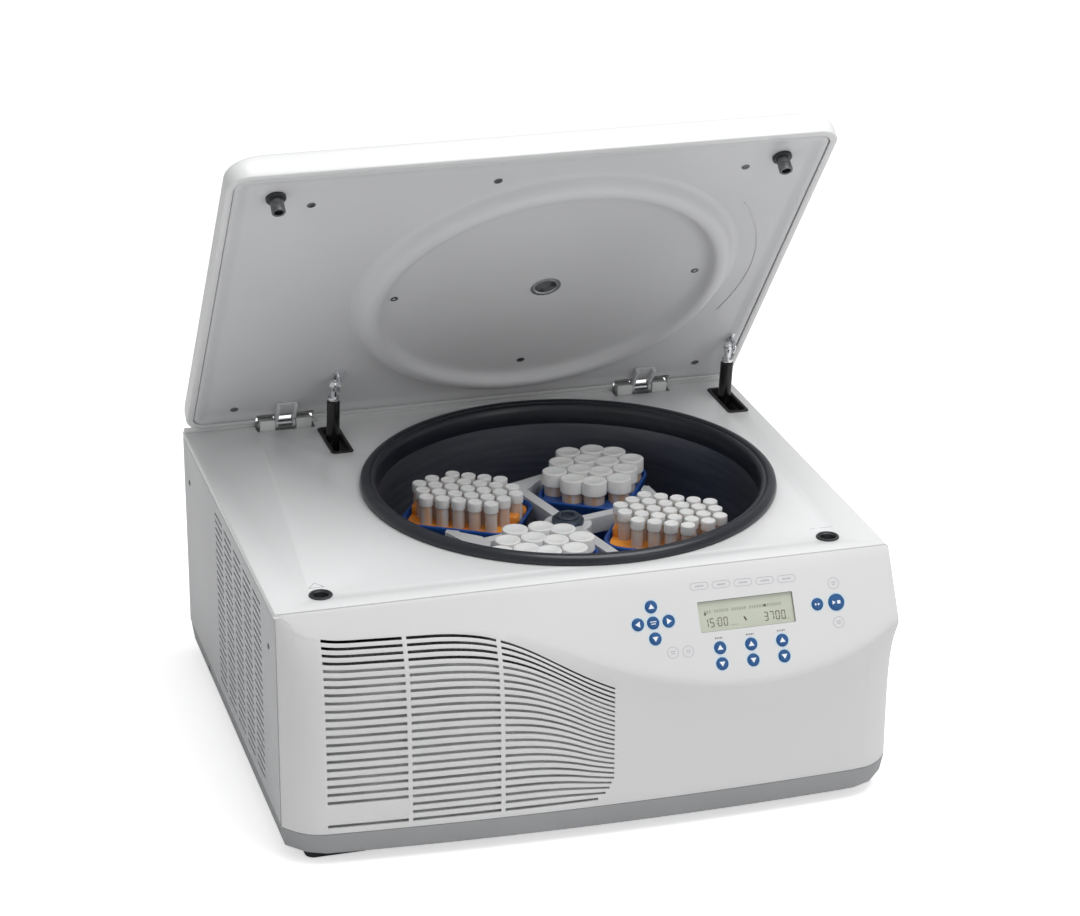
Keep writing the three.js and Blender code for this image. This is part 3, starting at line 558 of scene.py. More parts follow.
def louvreHeight(row, x):
    share = row / (front["louvres"] - 1)
    level = front["louvreSpan"] * (share + 0.24 * share ** 2 * (1 - share))
    fan = min(1, max(0, (x + 160) / (front["louvreRight"] + 160)))
    top = creaseHeight(x) - 6 - 20 * fan ** 0.8 - front["louvreLow"]
    crowded = level / (1 + (front["louvreSpan"] / top - 1) * (level / front["louvreSpan"]))
    even = min(1, max(0, (x + 60) / 71))
    return front["louvreLow"] + (1 - even) * crowded + even * top * share


def softLouvre(row, x):
    shifts = range(-30, 31, 6)
    return sum(louvreHeight(row, x + shift) for shift in shifts) / len(shifts)


def louvreEdges(row, x):
    middle = softLouvre(row, x)
    if row < front["louvres"] - 1:
        pitch = softLouvre(row + 1, x) - middle
    else:
        pitch = middle - softLouvre(row - 1, x)
    return middle - front["share"] * pitch / 2, middle + front["share"] * pitch / 2


def frontColumns():
    left, right, half = front["louvreLeft"], front["louvreRight"], front["half"]
    stops = [-half, left, right, half, 13, 10.5, 6, -3, front["mouldLine"] - 0.6, front["mouldLine"] + 0.6]
    for rib in front["ribs"]:
        stops += [rib - front["ribWidth"] / 2, rib + front["ribWidth"] / 2]
    stops = sorted(stops)
    columns = []
    for a, b in zip(stops, stops[1:]):
        widest = 3.5 if abs(a + b) / 2 > 310 else 9
        steps = max(1, math.ceil((b - a) / widest))
        columns += [a + (b - a) * step / steps for step in range(steps)]
    return columns + [half]


def frontRows(x):
    rows = [front["low"]]
    for row in range(front["louvres"]):
        rows += louvreEdges(row, x)
    crease = min(creaseHeight(x), deckTop - 3)
    rows += [crease - 3.5 + 3.5 * step / 3 for step in range(1, 4)]
    return rows + [crease + (deckTop - crease) * (step / 9) ** 1.3 for step in range(1, 10)]


def makeFront():
    columns = frontColumns()
    rowCount = len(frontRows(0))
    bpy.ops.mesh.primitive_grid_add(x_subdivisions=len(columns) - 1, y_subdivisions=rowCount - 1, size=2)
    skin = newPiece("frontMoulding")
    cell = {}
    heights = [frontRows(x) for x in columns]
    for point in skin.data.vertices:
        i = round((point.co.x + 1) / 2 * (len(columns) - 1))
        j = round((point.co.y + 1) / 2 * (rowCount - 1))
        cell[point.index] = (i, j)
        x, z = columns[i], heights[i][j]
        y = softFront(x, z)
        if abs(x - front["mouldLine"]) < 1 and z < creaseHeight(x) - 12:
            y += 0.7
        point.co = Vector((x, y, z)) * mm

    def isSlot(face):
        places = [cell[v] for v in face.vertices]
        i, j = min(p[0] for p in places), min(p[1] for p in places)
        row, rest = divmod(j - 1, 2)
        if j < 1 or rest or row >= front["louvres"]:
            return False
        x = (columns[i] + columns[i + 1]) / 2
        if x < front["louvreLeft"] or x > front["louvreRight"]:
            return False
        if any(abs(x - rib) < front["ribWidth"] / 2 for rib in front["ribs"]):
            return False
        if row in front["plateRows"] and x < front["ribs"][0]:
            return False
        return row >= len(front["rowEnds"]) or x < front["rowEnds"][row]

    pick(skin, "faces", isSlot)
    bpy.ops.mesh.delete(type="FACE")
    leave()
    wall = skin.modifiers.new("wall", "SOLIDIFY")
    wall.thickness = front["skin"] * mm
    wall.offset = -1
    applyAll(skin)
    bevelled(skin, 0.45, 2, 55)
    return skin


keys = {  # name: x, distance down the panel, radius, symbol
    "key_menu_up": (68.7, 40.1, 7.2, "up"), "key_menu_left": (50.2, 58.9, 7.2, "left"),
    "key_menu_enter": (68.8, 58.9, 7.2, "bars"), "key_menu_right": (87.7, 58.9, 7.2, "right"),
    "key_menu_down": (68.9, 77.5, 7.2, "down"), "key_short": (271.4, 60.1, 7.0, "short"),
    "key_start": (295.1, 60.3, 9.7, "start"),
    "key_time_up": (145.4, 96.8, 7.2, "up"), "key_time_down": (145.4, 115.5, 7.2, "down"),
    "key_temperature_up": (183.7, 96.8, 7.2, "up"), "key_temperature_down": (183.7, 115.5, 7.2, "down"),
    "key_speed_up": (222.2, 96.8, 7.2, "up"), "key_speed_down": (222.2, 115.5, 7.2, "down"),
}
window = {"left": 124.8, "right": 242.6, "top": 41.2, "bottom": 77.2, "depth": 3.4}
windowSpot = ((window["left"] + window["right"]) / 2, (window["top"] + window["bottom"]) / 2)
windowHalf = ((window["right"] - window["left"]) / 2, (window["bottom"] - window["top"]) / 2)



def makeMat():
    # the pale mat just behind the louvres
    across, up = 44, 12
    bpy.ops.mesh.primitive_grid_add(x_subdivisions=across, y_subdivisions=up, size=2)
    mat = newPiece("intakeMat")
    for point in mat.data.vertices:
        x = front["louvreLeft"] - 4 + (point.co.x + 1) / 2 * (front["louvreRight"] + 8 - front["louvreLeft"])
        top = softLouvre(front["louvres"] - 5, x)
        z = 34 + (point.co.y + 1) / 2 * (top - 34)
        point.co = Vector((x, softFront(x, z) + 6.5, z)) * mm
    thick = mat.modifiers.new("wall", "SOLIDIFY")
    thick.thickness = 1.2 * mm
    thick.offset = -1
    applyAll(mat)
    return dressed(mat, matPale)


setPiece(makeMat(), machinePlace, "housing")
frontSkin = makeFront()
holes = []
for name, (x, s, radius, symbol) in keys.items():
    hole = addRound("hole", radius + 0.35, -12, 12, sides=40)
    hole.data.transform(machinePlace.inverted() @ panelPlace(x, s))
    holes.append(hole)
hole = raiseOutline("hole", roundedLoop(*windowHalf, 1.2, 3), 24)
hole.data.transform(machinePlace.inverted() @ panelPlace(*windowSpot, -12))
holes.append(hole)
carved(frontSkin, holes)
dressed(frontSkin, frontPlastic)
setPiece(frontSkin, machinePlace, "housing", ["front_fascia"], 32)
report("front moulding")


# ---- symbols, keys and the display ----
def prism(points, finish, low=0.0, high=0.12):
    plate = raiseOutline("mark", [(x, y, low) for x, y in points], high - low)
    return dressed(plate, finish)


def dash(x, y, wide, tall, finish, high=0.12):
    return prism([(x - wide / 2, y - tall / 2), (x + wide / 2, y - tall / 2), (x + wide / 2, y + tall / 2),
                  (x - wide / 2, y + tall / 2)], finish, 0, high)


def ringMark(radius, width, finish, low=0.0, high=0.1, sides=48):
    profile = [(radius - width / 2, low), (radius + width / 2, low), (radius + width / 2, high),
               (radius - width / 2, high)]
    return dressed(spinOutline("mark", profile, sides), finish)


def symbolPieces(symbol, radius, finish):
    size = radius * 0.5
    if symbol in ("up", "down", "left", "right"):
        turn = {"up": 0, "left": 90, "down": 180, "right": 270}[symbol]
        spots = [Matrix.Rotation(math.radians(turn), 2) @ Vector(p)
                 for p in [(-size, -size * 0.65), (size, -size * 0.65), (0, size * 0.95)]]
        return [prism([tuple(p) for p in spots], finish)]
    if symbol == "short":
        return [prism([(x, -1.7), (x + 2.6, 0), (x, 1.7)], finish) for x in (-3.2, 0.3)]
    if symbol == "start":
        return [prism([(-5, -2.4), (-0.9, 0), (-5, 2.4)], finish), dash(2.9, 0, 3.9, 3.9, finish)]
    return [dash(0, 1.3, 7.6, 1.0, finish), dash(0, -1.3, 5.6, 1.0, finish)]


keyForm = {"proud": 0.9, "rim": 0.5, "flange": 1.4, "haloInner": 0.45, "haloOuter": 1.9}
for name, (x, s, radius, symbol) in keys.items():
    top = keyForm["proud"]
    button = spinOutline("button", [
        (0, -5), (radius + keyForm["flange"], -5), (radius + keyForm["flange"], -4), (radius, -4),
        (radius, top - 0.5),
        (radius - 0.15, top - 0.15), (radius - 0.5, top), (radius * 0.5, top + 0.12), (0, top + 0.15)], 48)
    dressed(button, keyBlue)
    marks = symbolPieces(symbol, radius, symbolWhite)
    for mark in marks:
        mark.data.transform(Matrix.Translation((0, 0, (top + 0.08) * mm)))
    shownName = name.replace("_", " ").title().replace(" ", "")
    button = joined("cap" + shownName, [button] + marks)
    setPiece(button, panelPlace(x, s), name + "_body", [name])
    halo = ringMark(radius + 1.15, 1.3, keyHalo)
    halo.name = "halo" + shownName
    setPiece(halo, panelPlace(x, s), "housing")
report("keys")

glyphs = {"0": "abcdef", "1": "bc", "2": "abged", "3": "abgcd", "4": "fgbc", "5": "afgcd", "6": "afgedc",
          "7": "abc"}
strokes = {"a": (0, 1, 1), "b": (0.5, 0.5, 0), "c": (0.5, -0.5, 0), "d": (0, -1, 1), "e": (-0.5, -0.5, 0),
           "f": (-0.5, 0.5, 0), "g": (0, 0, 1)}


def numberPieces(text, x, y, tall, finish):
    wide, pieces = tall * 0.5, []
    for letter in text:
        if letter == ":":
            pieces += [dash(x - wide * 0.25, y + side * tall * 0.2, tall * 0.1, tall * 0.1, finish)
                       for side in (-1, 1)]
            x += wide * 0.55
            continue
        for stroke in glyphs[letter]:
            offX, offY, flat = strokes[stroke]
            sizes = (wide * 0.82, tall * 0.1) if flat else (tall * 0.1, tall * 0.42)
            pieces.append(dash(x + offX * wide * 0.85, y + offY * tall / 2, *sizes, finish))
        x += wide * 1.5
    return pieces


def makeDisplay():
    halfX, halfY = windowHalf
    plate = raiseOutline("plate", roundedLoop(halfX - 0.4, halfY - 0.4, 1, 3, z=-1.6), 1.6)
    pieces = [dressed(plate, glassPale)]
    pieces += numberPieces("15:00", -50, -7.5, 9.5, digitBrown)
    pieces += numberPieces("3700", 24, -7.5, 9.5, digitBrown)
    pieces += [prism([(-4, -4), (-2.2, -9), (0.4, -9.6), (-1.6, -5)], digitBrown)]
    pieces += [dash(-50 + 3.1 * n, 5.5, 1.9, 3.4, digitFaint) for n in range(32) if n % 7 != 3]
    pieces += [dash(-50, 3.5, 2.6, 3.2, digitBrown), dash(24, 5.5, 2.8, 2.8, digitBrown)]
    pieces += [dash(x, -12.5, 9, 0.9, digitFaint) for x in (-16, 48)]
    display = joined("displayGlass", pieces)
    setPiece(display, panelPlace(*windowSpot, -window["depth"] + 0.2), "housing", ["display_window"])
    # painted shade: the walls of the window recess are given the dark print grey so that the recess reads as
    # shadowed
    rim = addOutline("displayRecessShade", roundedLoop(halfX + 0.6, halfY + 0.6, 1.6, 3, z=-window["depth"]))
    pick(rim, "edges")
    bpy.ops.mesh.extrude_region_move(TRANSFORM_OT_translate={"value": (0, 0, (window["depth"] - 0.25) * mm)})
    leave()
    wall = rim.modifiers.new("wall", "SOLIDIFY")
    wall.thickness = 1.1 * mm
    wall.offset = 0
    applyAll(rim)
    closeUp(rim)
    dressed(rim, printGrey)
    setPiece(rim, panelPlace(*windowSpot), "housing")


makeDisplay()

marks = []


def addMarks(x, s, pieces):
    for piece in pieces:
        piece.data.transform(machinePlace.inverted() @ panelPlace(x, s))
        marks.append(piece)


for x, s in [(87.8, 95.8), (106.4, 96.6), (294.9, 37.7), (294.8, 84.0)]:
    addMarks(x, s, [ringMark(6.6, 0.5, printPale), dash(0, 1.2, 6, 0.8, printPale),
                    dash(0, -1.2, 4.4, 0.8, printPale)])
for number in range(5):
    x, s = 130.1 + number * 26.9, 22.7 + number * 0.77
    outer = roundedLoop(11.2, 4.3, 4.2, 6)
    inner = roundedLoop(10.7, 3.8, 3.7, 6)
    band = addOutline("mark", outer)
    other = addOutline("mark", inner)
    band = joined("mark", [band, other])
    pick(band, "edges")
    bpy.ops.mesh.bridge_edge_loops()
    bpy.ops.mesh.select_all(action="SELECT")
    bpy.ops.mesh.extrude_region_move(TRANSFORM_OT_translate={"value": (0, 0, 0.1 * mm)})
    leave()
    closeUp(band)
    addMarks(x, s, [dressed(band, printPale)] + [dash(-4 + 2.1 * n, 0, 1.4, 1.7, printPale) for n in range(5)])
for x in (145.4, 183.7, 222.2):
    addMarks(x, 85.3, [dash(-4 + 2.0 * n, 0, 1.3, 1.6 if n % 3 else 2.1, printGrey) for n in range(5)])
printed = joined("panelPrint", marks)
setPiece(printed, machinePlace, "housing")
report("display and printed marks")


# ---- more tools: stacked loops and screws ----
def wrapGrid(name, loops, capped=True):
    across, up = len(loops[0]), len(loops) - 1
    bpy.ops.mesh.primitive_grid_add(x_subdivisions=across, y_subdivisions=up, size=2)
    piece = newPiece(name)
    for point in piece.data.vertices:
        i = round((point.co.x + 1) / 2 * across) % across
        j = round((point.co.y + 1) / 2 * up)
        point.co = Vector(loops[j][i]) * mm
    closeUp(piece)
    if capped:
        pick(piece, "edges", lambda a, b: False)
        bpy.ops.mesh.select_non_manifold()
        bpy.ops.mesh.fill_holes(sides=0)
        leave()
        closeUp(piece)
    return piece


def screwHead(spot, radius=3.4, axis="z", out=1, finish=satinSteel):
    rise = 1.0 * out
    head = spinOutline("screw", [(0, 0), (radius, 0), (radius, rise * 0.6), (radius * 0.8, rise),
                                 (radius * 0.42, rise),
                                 (radius * 0.38, rise * 0.35), (0, rise * 0.35)], 24, spot, axis)
    return dressed(head, finish)


def dressNode(node, finish):
    return dressed(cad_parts[node], finish)


# ---- deck ----
deck = {"half": 370, "front": 3.6, "rear": 582.5, "fold": 289.4, "edge": 2.6, "hole": 247, "latchHole": 12,
        "bead": 4, "beadDepth": 10, "notchHalf": 38, "notchFront": 552, "notchRear": 577.4, "postX": 308.5,
        "latchY": 40}
strut = {"left": -188, "right": 343, "slotHalf": 11, "slotFront": 456, "slotRear": 540}
hingeX = {"left": -240, "right": 243}


def makeDeck():
    plate = addBlock("deckSheet", (-deck["half"], deck["front"], deck["fold"]),
                     (deck["half"], deck["rear"], deckTop))
    pick(plate, "edges", lambda a, b: abs(a.x) > 369 and abs(a.x - b.x) < 1 and min(a.z, b.z) > deckTop - 1)
    bpy.ops.mesh.bevel(offset=deck["edge"] * mm, segments=5)
    leave()
    under = addBlock("under", (-deck["half"] + 2, deck["front"] + 2, deck["fold"] - 2),
                     (deck["half"] - 2, deck["rear"] - 2, deckTop - 3))
    tools = [under, addRound("hole", deck["hole"], 270, 310, chamber.xy.to_3d(), sides=128)]
    for side in (-1, 1):
        tools.append(addRound("hole", deck["latchHole"], 270, 310, (side * deck["postX"], deck["latchY"], 0),
                              sides=48))
    for side in ("left", "right"):
        slot = raiseOutline("slot", roundedLoop(strut["slotHalf"] + 2,
                                                (strut["slotRear"] - strut["slotFront"]) / 2 + 2, 5, 4,
                                                (strut[side], (strut["slotRear"] + strut["slotFront"]) / 2),
                                                270), 40)
        tools.append(slot)
        tools.append(raiseOutline("notch", roundedLoop(
            deck["notchHalf"], (deck["notchRear"] - deck["notchFront"]) / 2, 2, 3,
            (hingeX[side], (deck["notchRear"] + deck["notchFront"]) / 2), 270), 50))
    bead = addBlock("bead", (-deck["half"] + 1, deck["rear"] - deck["beadDepth"], deckTop - 0.5),
                    (deck["half"] - 1, deck["rear"], deckTop + deck["bead"]))
    bevelled(bead, 1.6, 4, 60)
    carved(bead, [addBlock("notch", (hingeX[side] - deck["notchHalf"], 550, 280),
                           (hingeX[side] + deck["notchHalf"], deck["notchRear"], 320))
                           for side in ("left", "right")])
    carved(plate, tools)
    bevelled(plate, 0.5, 2, 60)
    return joined("deckSheet", [dressed(plate, whitePaint), dressed(bead, whitePaint)])


setPiece(makeDeck(), machinePlace, "housing", ["deck_panel"], 32)

for side in ("left", "right"):
    halfY = (strut["slotRear"] - strut["slotFront"]) / 2
    centre = (strut[side], (strut["slotRear"] + strut["slotFront"]) / 2)
    levels = [(0.8, 294), (1.6, 290), (-3.5, 290), (-3.5, 297.6), (-3.2, 298.6), (-2.2, 299.1), (0, 298.9),
              (0.8, 298)]
    boot = wrapGrid("boot" + side.title(),
                    [roundedLoop(strut["slotHalf"] - inset, halfY - inset, 5, 5, centre, z)
                                            for inset, z in levels + levels[:1]], capped=False)
    dressed(boot, bootRubber)
    setPiece(boot, machinePlace, "housing")

leftMark = [(-9, 0), (9, 0), (0, 13)]
deckMarks = []
for a, b in zip(leftMark, leftMark[1:] + leftMark[:1]):
    line = dash(0, 0, math.dist(a, b), 0.6, printGrey)
    turn = math.atan2(b[1] - a[1], b[0] - a[0])
    spot = Vector((-deck["postX"] + (a[0] + b[0]) / 2, deck["latchY"] + 22 + (a[1] + b[1]) / 2, deckTop)) * mm
    line.data.transform(Matrix.Translation(spot) @ Matrix.Rotation(turn, 4, "Z"))
    deckMarks.append(line)
for x, wide in ((-9, 7), (9, 17)):
    line = dash(0, 0, wide, 0.7, printPale)
    line.data.transform(Matrix.Translation(Vector((deck["postX"] + x, deck["latchY"] + 28, deckTop)) * mm))
    deckMarks.append(line)
setPiece(joined("deckPrint", deckMarks), machinePlace, "housing")
report("deck")

# ---- side panels ----
vent = {"front": 88, "pitch": 58.5, "slot": 46.5, "columns": 5, "low": 46.3, "rowPitch": 9.78, "rows": 24,
        "opening": 3.8}
wall = {"low": 29.6, "high": 288.6, "sheet": 2}


def makeSide(side):
    stopsY = [deck["front"]]
    for column in range(vent["columns"]):
        start = vent["front"] + column * vent["pitch"]
        stopsY += [start, start + vent["slot"]]
    stopsY.append(deck["rear"])
    stopsZ = [wall["low"]]
    for row in range(vent["rows"]):
        middle = vent["low"] + row * vent["rowPitch"]
        stopsZ += [middle - vent["opening"] / 2, middle + vent["opening"] / 2]
    stopsZ.append(wall["high"])
    bpy.ops.mesh.primitive_grid_add(x_subdivisions=len(stopsY) - 1, y_subdivisions=len(stopsZ) - 1, size=2)
    panel = newPiece("sidePanel")
    cell = {}
    for point in panel.data.vertices:
        i = round((point.co.x + 1) / 2 * (len(stopsY) - 1))
        j = round((point.co.y + 1) / 2 * (len(stopsZ) - 1))
        cell[point.index] = (i, j)
        point.co = Vector((side * deck["half"], stopsY[i], stopsZ[j])) * mm

    def isSlot(face):
        i, j = min(cell[v][0] for v in face.vertices), min(cell[v][1] for v in face.vertices)
        return side < 0 and i % 2 == 1 and j % 2 == 1

    pick(panel, "faces", isSlot)
    bpy.ops.mesh.delete(type="FACE")
    leave()
    thick = panel.modifiers.new("wall", "SOLIDIFY")
    thick.thickness = wall["sheet"] * mm
    thick.offset = -side
    applyAll(panel)
    closeUp(panel)
    bevelled(panel, 0.4, 2, 60)
    dressed(panel, sidePaint)
    screws = [screwHead((side * deck["half"], 43, 239.5), 3.6, "x", side, darkSteel),
              screwHead((side * deck["half"], 545, 239.5), 3.6, "x", side, darkSteel)]
    return joined("sidePanel" + ("Left" if side < 0 else "Right"), [panel] + screws)


for side, node in ((-1, "side_panel_left"), (1, "side_panel_right")):
    setPiece(makeSide(side), machinePlace, "housing", [node])
report("side panels")

# ---- base, feet and rear ----
base = {"high": 29, "floor": 4, "anchorY": 538, "anchorZ": 100}


def baseLoop(inset, z):
    half = deck["half"] - inset
    points = [(half * (step / 36 * 2 - 1), 0) for step in range(37)]
    points = [(x, bow(x * deck["half"] / half) + inset) for x, y in points]
    corner = 8
    for quarter, sign in ((0, 1), (1, -1)):
        for step in range(5):
            angle = (quarter + step / 4) * math.pi / 2
            points.append((sign * (half - corner) + corner * math.cos(angle),
                           deck["rear"] - inset - corner + corner * math.sin(angle)))
    return [(x, y, z) for x, y in points]


levels = [(9, 0), (6.5, 0.7), (4.5, 2.5), (3.2, 6), (0.5, 25), (0.1, 27.6), (0.6, 28.7), (1.4, 29)]
tray = wrapGrid("baseTray", [baseLoop(inset, z) for inset, z in levels])
inside = raiseOutline("inside", baseLoop(6, base["floor"]), 40)
notch = addBlock("notch", (-380, 452, 10), (-364, 466, 18))
carved(tray, [inside, notch])
lugs = [addBlock("lug", (strut[side] + a, base["anchorY"] - 14, base["floor"] - 1),
                 (strut[side] + b, base["anchorY"] + 14, base["anchorZ"] + 12))
        for side in ("left", "right") for a, b in ((-12, -6), (6, 12))]
for lug in lugs:
    bevelled(lug, 1, 2, 40)
tray = joined("baseTray", [dressed(piece, basePlastic) for piece in [tray] + lugs])
setPiece(tray, machinePlace, "housing", ["base_tray"], 30)

pad = wrapGrid("pad", [roundedLoop(40 - inset, 25 - inset, 10, 6, z=z)
                       for inset, z in [(3, -12), (1, -11.4), (0, -9.8), (0, -2), (1.5, -0.3)]])
dressed(pad, bootRubber)
for name, x, y in [("front_left", -304, 12), ("front_right", 304, 12), ("rear_left", -304, 540),
                   ("rear_right", 304, 540)]:
    foot = copied(pad, "foot" + name.title().replace("_", ""), Matrix.Translation((x * mm, y * mm, 0)))
    setPiece(foot, machinePlace, "housing", ["foot_" + name])
bpy.data.objects.remove(pad)

rear = nodeCopy("rearPanel", "rear_panel", 0.4, 2, 40)
screws = [screwHead((x, 582.5, z), 3.6, "y", 1, darkSteel) for x in (-352, 0, 352) for z in (44, 280)]
plate = raiseOutline("plate", roundedLoop(48, 22, 3, 4), 0.6)
plate.data.transform(Matrix.Translation((0.13, 0.5825, 0.11)) @ Matrix.Rotation(-math.pi / 2, 4, "X"))
for extra in screws + [plate]:
    extra.data.transform(machinePlace)
rear = joined("rearPanel", [dressed(rear, sidePaint), dressed(plate, satinSteel)] + screws)
setPiece(rear, Matrix(), "housing", ["rear_panel"])
for node, body, finish in [("power_inlet", "housing", blackPlastic),
                           ("power_switch", "switch_rocker", blackPlastic)]:
    piece = dressed(nodeCopy(node.title().replace("_", ""), node, 0.7, 2, 40), finish)
    setPiece(piece, Matrix(), body, [node])
report("base, feet and rear")

# ---- chamber, gasket, latch sockets ----
bowl = spinOutline("chamberBowl", [
    (28, 94), (198, 94), (215, 98), (228, 106), (237, 119), (241, 134), (241, 277.4), (255, 277.4),
    (255, 280.4),
    (238.6, 280.4), (238, 279.8), (238, 135), (234.5, 121), (226, 109), (213, 101), (197, 97), (28, 97)], 128)
dressed(bowl, chamberSteel)
setPiece(bowl, chamberPlace, "housing", ["chamber_bowl"], 40)
gasket = spinOutline("chamberGasket", [
    (257.5, 297.6), (258.2, 300), (257.2, 305), (253.5, 308.6), (249, 309), (246.5, 307.8), (245.6, 306.2),
    (244.5, 307),
    (241, 306.4), (238.2, 303.5), (236.8, 298), (236.2, 290), (237, 281.2), (239.5, 280.6), (243.5, 281),
    (243.9, 297.4)], 160)
dressed(gasket, rubberBlack)
setPiece(gasket, chamberPlace, "housing", ["chamber_gasket"], 60)
for side, sign in (("left", -1), ("right", 1)):
    spot = (sign * deck["postX"], deck["latchY"], 0)
    ring = dressed(spinOutline("ring", [(9.8, 262), (11.4, 262), (11.4, 297.3), (13.6, 297.3), (13.8, 298.2),
                                        (13, 299.2),
                                        (10.6, 299.3), (9.9, 298.5)], 64, spot), blackPlastic)
    insert = dressed(spinOutline("insert", [(8.9, 270), (9.8, 270), (9.8, 297.6), (9.4, 298.1), (9, 297.6)],
                                 48, spot), darkSteel)
    floorDisc = dressed(addRound("floorDisc", 9.8, 262, 264, spot, sides=48), blackPlastic)
    pin = dressed(spinOutline("pin", [(0, 263), (4.2, 263), (4.2, 289), (3.2, 290.4), (0, 290.8)], 32, spot),
                  chromePlate)
    socket = joined("latchSocket" + side.title(), [ring, insert, floorDisc, pin])
    setPiece(socket, machinePlace, "housing", ["latch_socket_" + side])
report("chamber")

# ---- hinges and struts ----
for side in ("left", "right"):
    bracket = dressed(nodeCopy("hingeBracket" + side.title(), "hinge_bracket_" + side, 1.4, 3, 50), whitePaint)
    setPiece(bracket, Matrix(), "housing", ["hinge_bracket_" + side], 50)
    spot = (hingeX[side], hinge["y"], hinge["z"])
    pin = dressed(bevelled(addRound("pin", 4, -35, 35, spot, "x", 40), 0.6, 2, 60), satinSteel)
    collars = [dressed(bevelled(addRound("collar", 5.6, a, b, spot, "x", 40), 0.4, 2, 60), satinSteel)
               for a, b in ((-35.6, -34.2), (34.2, 35.6))]
    setPiece(joined("hingePin" + side.title(), [pin] + collars), machinePlace, "housing",
             ["hinge_pin_" + side])
    leaf = dressed(nodeCopy("hingeLeaf" + side.title(), "lid_hinge_leaf_" + side, 0.5, 2, 50), linerPlastic)
    setPiece(leaf, Matrix(), "lid", ["lid_hinge_leaf_" + side], 50)

eyeR, eyeZ = 95, hinge["linerRise"] - 12
openAngle = hinge["openAngle"]
eyeSpot = Vector((0, hinge["y"] - eyeR * math.cos(openAngle) + eyeZ * math.sin(openAngle),
                  hinge["z"] + eyeR * math.sin(openAngle) + eyeZ * math.cos(openAngle)))
strutLean = math.atan2(base["anchorY"] - eyeSpot.y, eyeSpot.z - base["anchorZ"])
strutSpan = math.hypot(base["anchorY"] - eyeSpot.y, eyeSpot.z - base["anchorZ"])
for side in ("left", "right"):
    place = machinePlace @ Matrix.Translation(Vector((strut[side], eyeSpot.y, eyeSpot.z)) * mm)
    place = place @ Matrix.Rotation(strutLean, 4, "X")
    fitting = spinOutline("fitting", [(0, 7.4), (3.6, 6.4), (6, 3.8), (7, 0), (6.2, -3.6), (4.8, -6),
                                      (4.3, -9), (4.3, -16),
                                      (5.8, -16.4), (6, -22), (0, -22)], 32)
    cross = bevelled(addRound("cross", 4.8, -4.2, 4.2, axis="x", sides=32), 0.5)
    fitting = [dressed(fitting, chromePlate), dressed(cross, chromePlate)]
    barrel = spinOutline("barrel", [(4.4, -150), (7.4, -150), (8.4, -149), (8.4, -25), (7.6, -23), (5.4, -22),
                                    (0, -22),
                                    (0, -23.4), (4.4, -23.4)], 40)
    clip = spinOutline("clip", [(6, -17.4), (7.4, -17.4), (7.7, -18.4), (7.7, -20.4), (7.4, -21.4),
                                (6, -21.4)], 32)
    barrel = joined("strutBarrel" + side.title(), [dressed(barrel, blackPaint),
                                                   dressed(clip, chromePlate)] + fitting)
    setPiece(barrel, place, "strut_cylinder_" + side + "_body", ["strut_cylinder_" + side])
    rod = bevelled(addRound("rod", 4, -strutSpan + 4, -134, sides=32), 0.5)
    end = bevelled(addRound("end", 6, -3, 3, (0, 0, -strutSpan), "x", 32), 0.5)
    rod = joined("strutRod" + side.title(), [dressed(rod, chromePlate), dressed(end, chromePlate)])
    setPiece(rod, place, "strut_rod_" + side + "_body", ["strut_rod_" + side])
report("hinges and struts")

# ---- lid shell ----
lidForm = {"half": 370, "front": 579, "rear": -3, "lip": 3, "lipWidth": 9, "side": 17, "edge": 27, "crown": 49,
           "wall": 3, "corner": 28}
lidMiddle = -(lidForm["front"] + lidForm["rear"]) / 2
lidHalfR = (lidForm["front"] - lidForm["rear"]) / 2


def lidLoop(inset, z, swell=-1.0):
    # with a positive swell the corners open out inwards, so the dome has no hips
    radius = max(3, min(lidForm["corner"] + swell * inset, lidHalfR - inset - 1))
    return roundedLoop(lidForm["half"] - inset, lidHalfR - inset, radius, 12, (0, lidMiddle), z)


def domeHeight(inset):
    t = min(1, inset / lidForm["edge"])
    reach = min(1, max(0, inset - lidForm["edge"] / 2) / 215)
    rounding = lidForm["edge"] * math.sqrt(1 - (1 - t) ** 2)
    return lidForm["side"] + rounding + lidForm["crown"] * reach ** 2 * (3 - 2 * reach)


def makeLid():
    insets = [lidForm["edge"] * (1 - math.cos(math.radians(turn))) for turn in range(0, 91, 9)]
    insets += [lidForm["edge"] + 24 * step for step in range(1, 9)] + [262, 284]
    outer = [lidLoop(inset, domeHeight(inset), 0.8) for inset in insets]
    wallIn = lidForm["wall"]
    inner = [lidLoop(max(inset, wallIn), domeHeight(inset) - wallIn, 0.8) for inset in insets]
    lip = lidForm["lip"]
    foot = [(wallIn, 14), (wallIn, lip + 3.2), (wallIn + 0.6, lip + 2.6), (lidForm["lipWidth"], lip + 2.6),
            (lidForm["lipWidth"], lip + 0.4), (lidForm["lipWidth"] - 0.5, lip), (2.2, lip), (0.8, lip + 0.5),
            (0, lip + 2),
            (0, 14)]
    loops = inner[::-1] + [lidLoop(inset, z) for inset, z in foot] + outer
    shell = wrapGrid("lidShell", loops)
    notches = [addBlock("notch", (hingeX[side] - deck["notchHalf"], -16, -10),
                        (hingeX[side] + deck["notchHalf"], 16, 12))
               for side in ("left", "right")]
    carved(shell, notches)
    return dressed(shell, lidPlastic)


setPiece(makeLid(), lidPlace, "lid", ["lid_shell"], 40)
report("lid shell")

# ---- lid liner ----
bossSpot = (chamber.x, chamber.y - hinge["y"], 0)


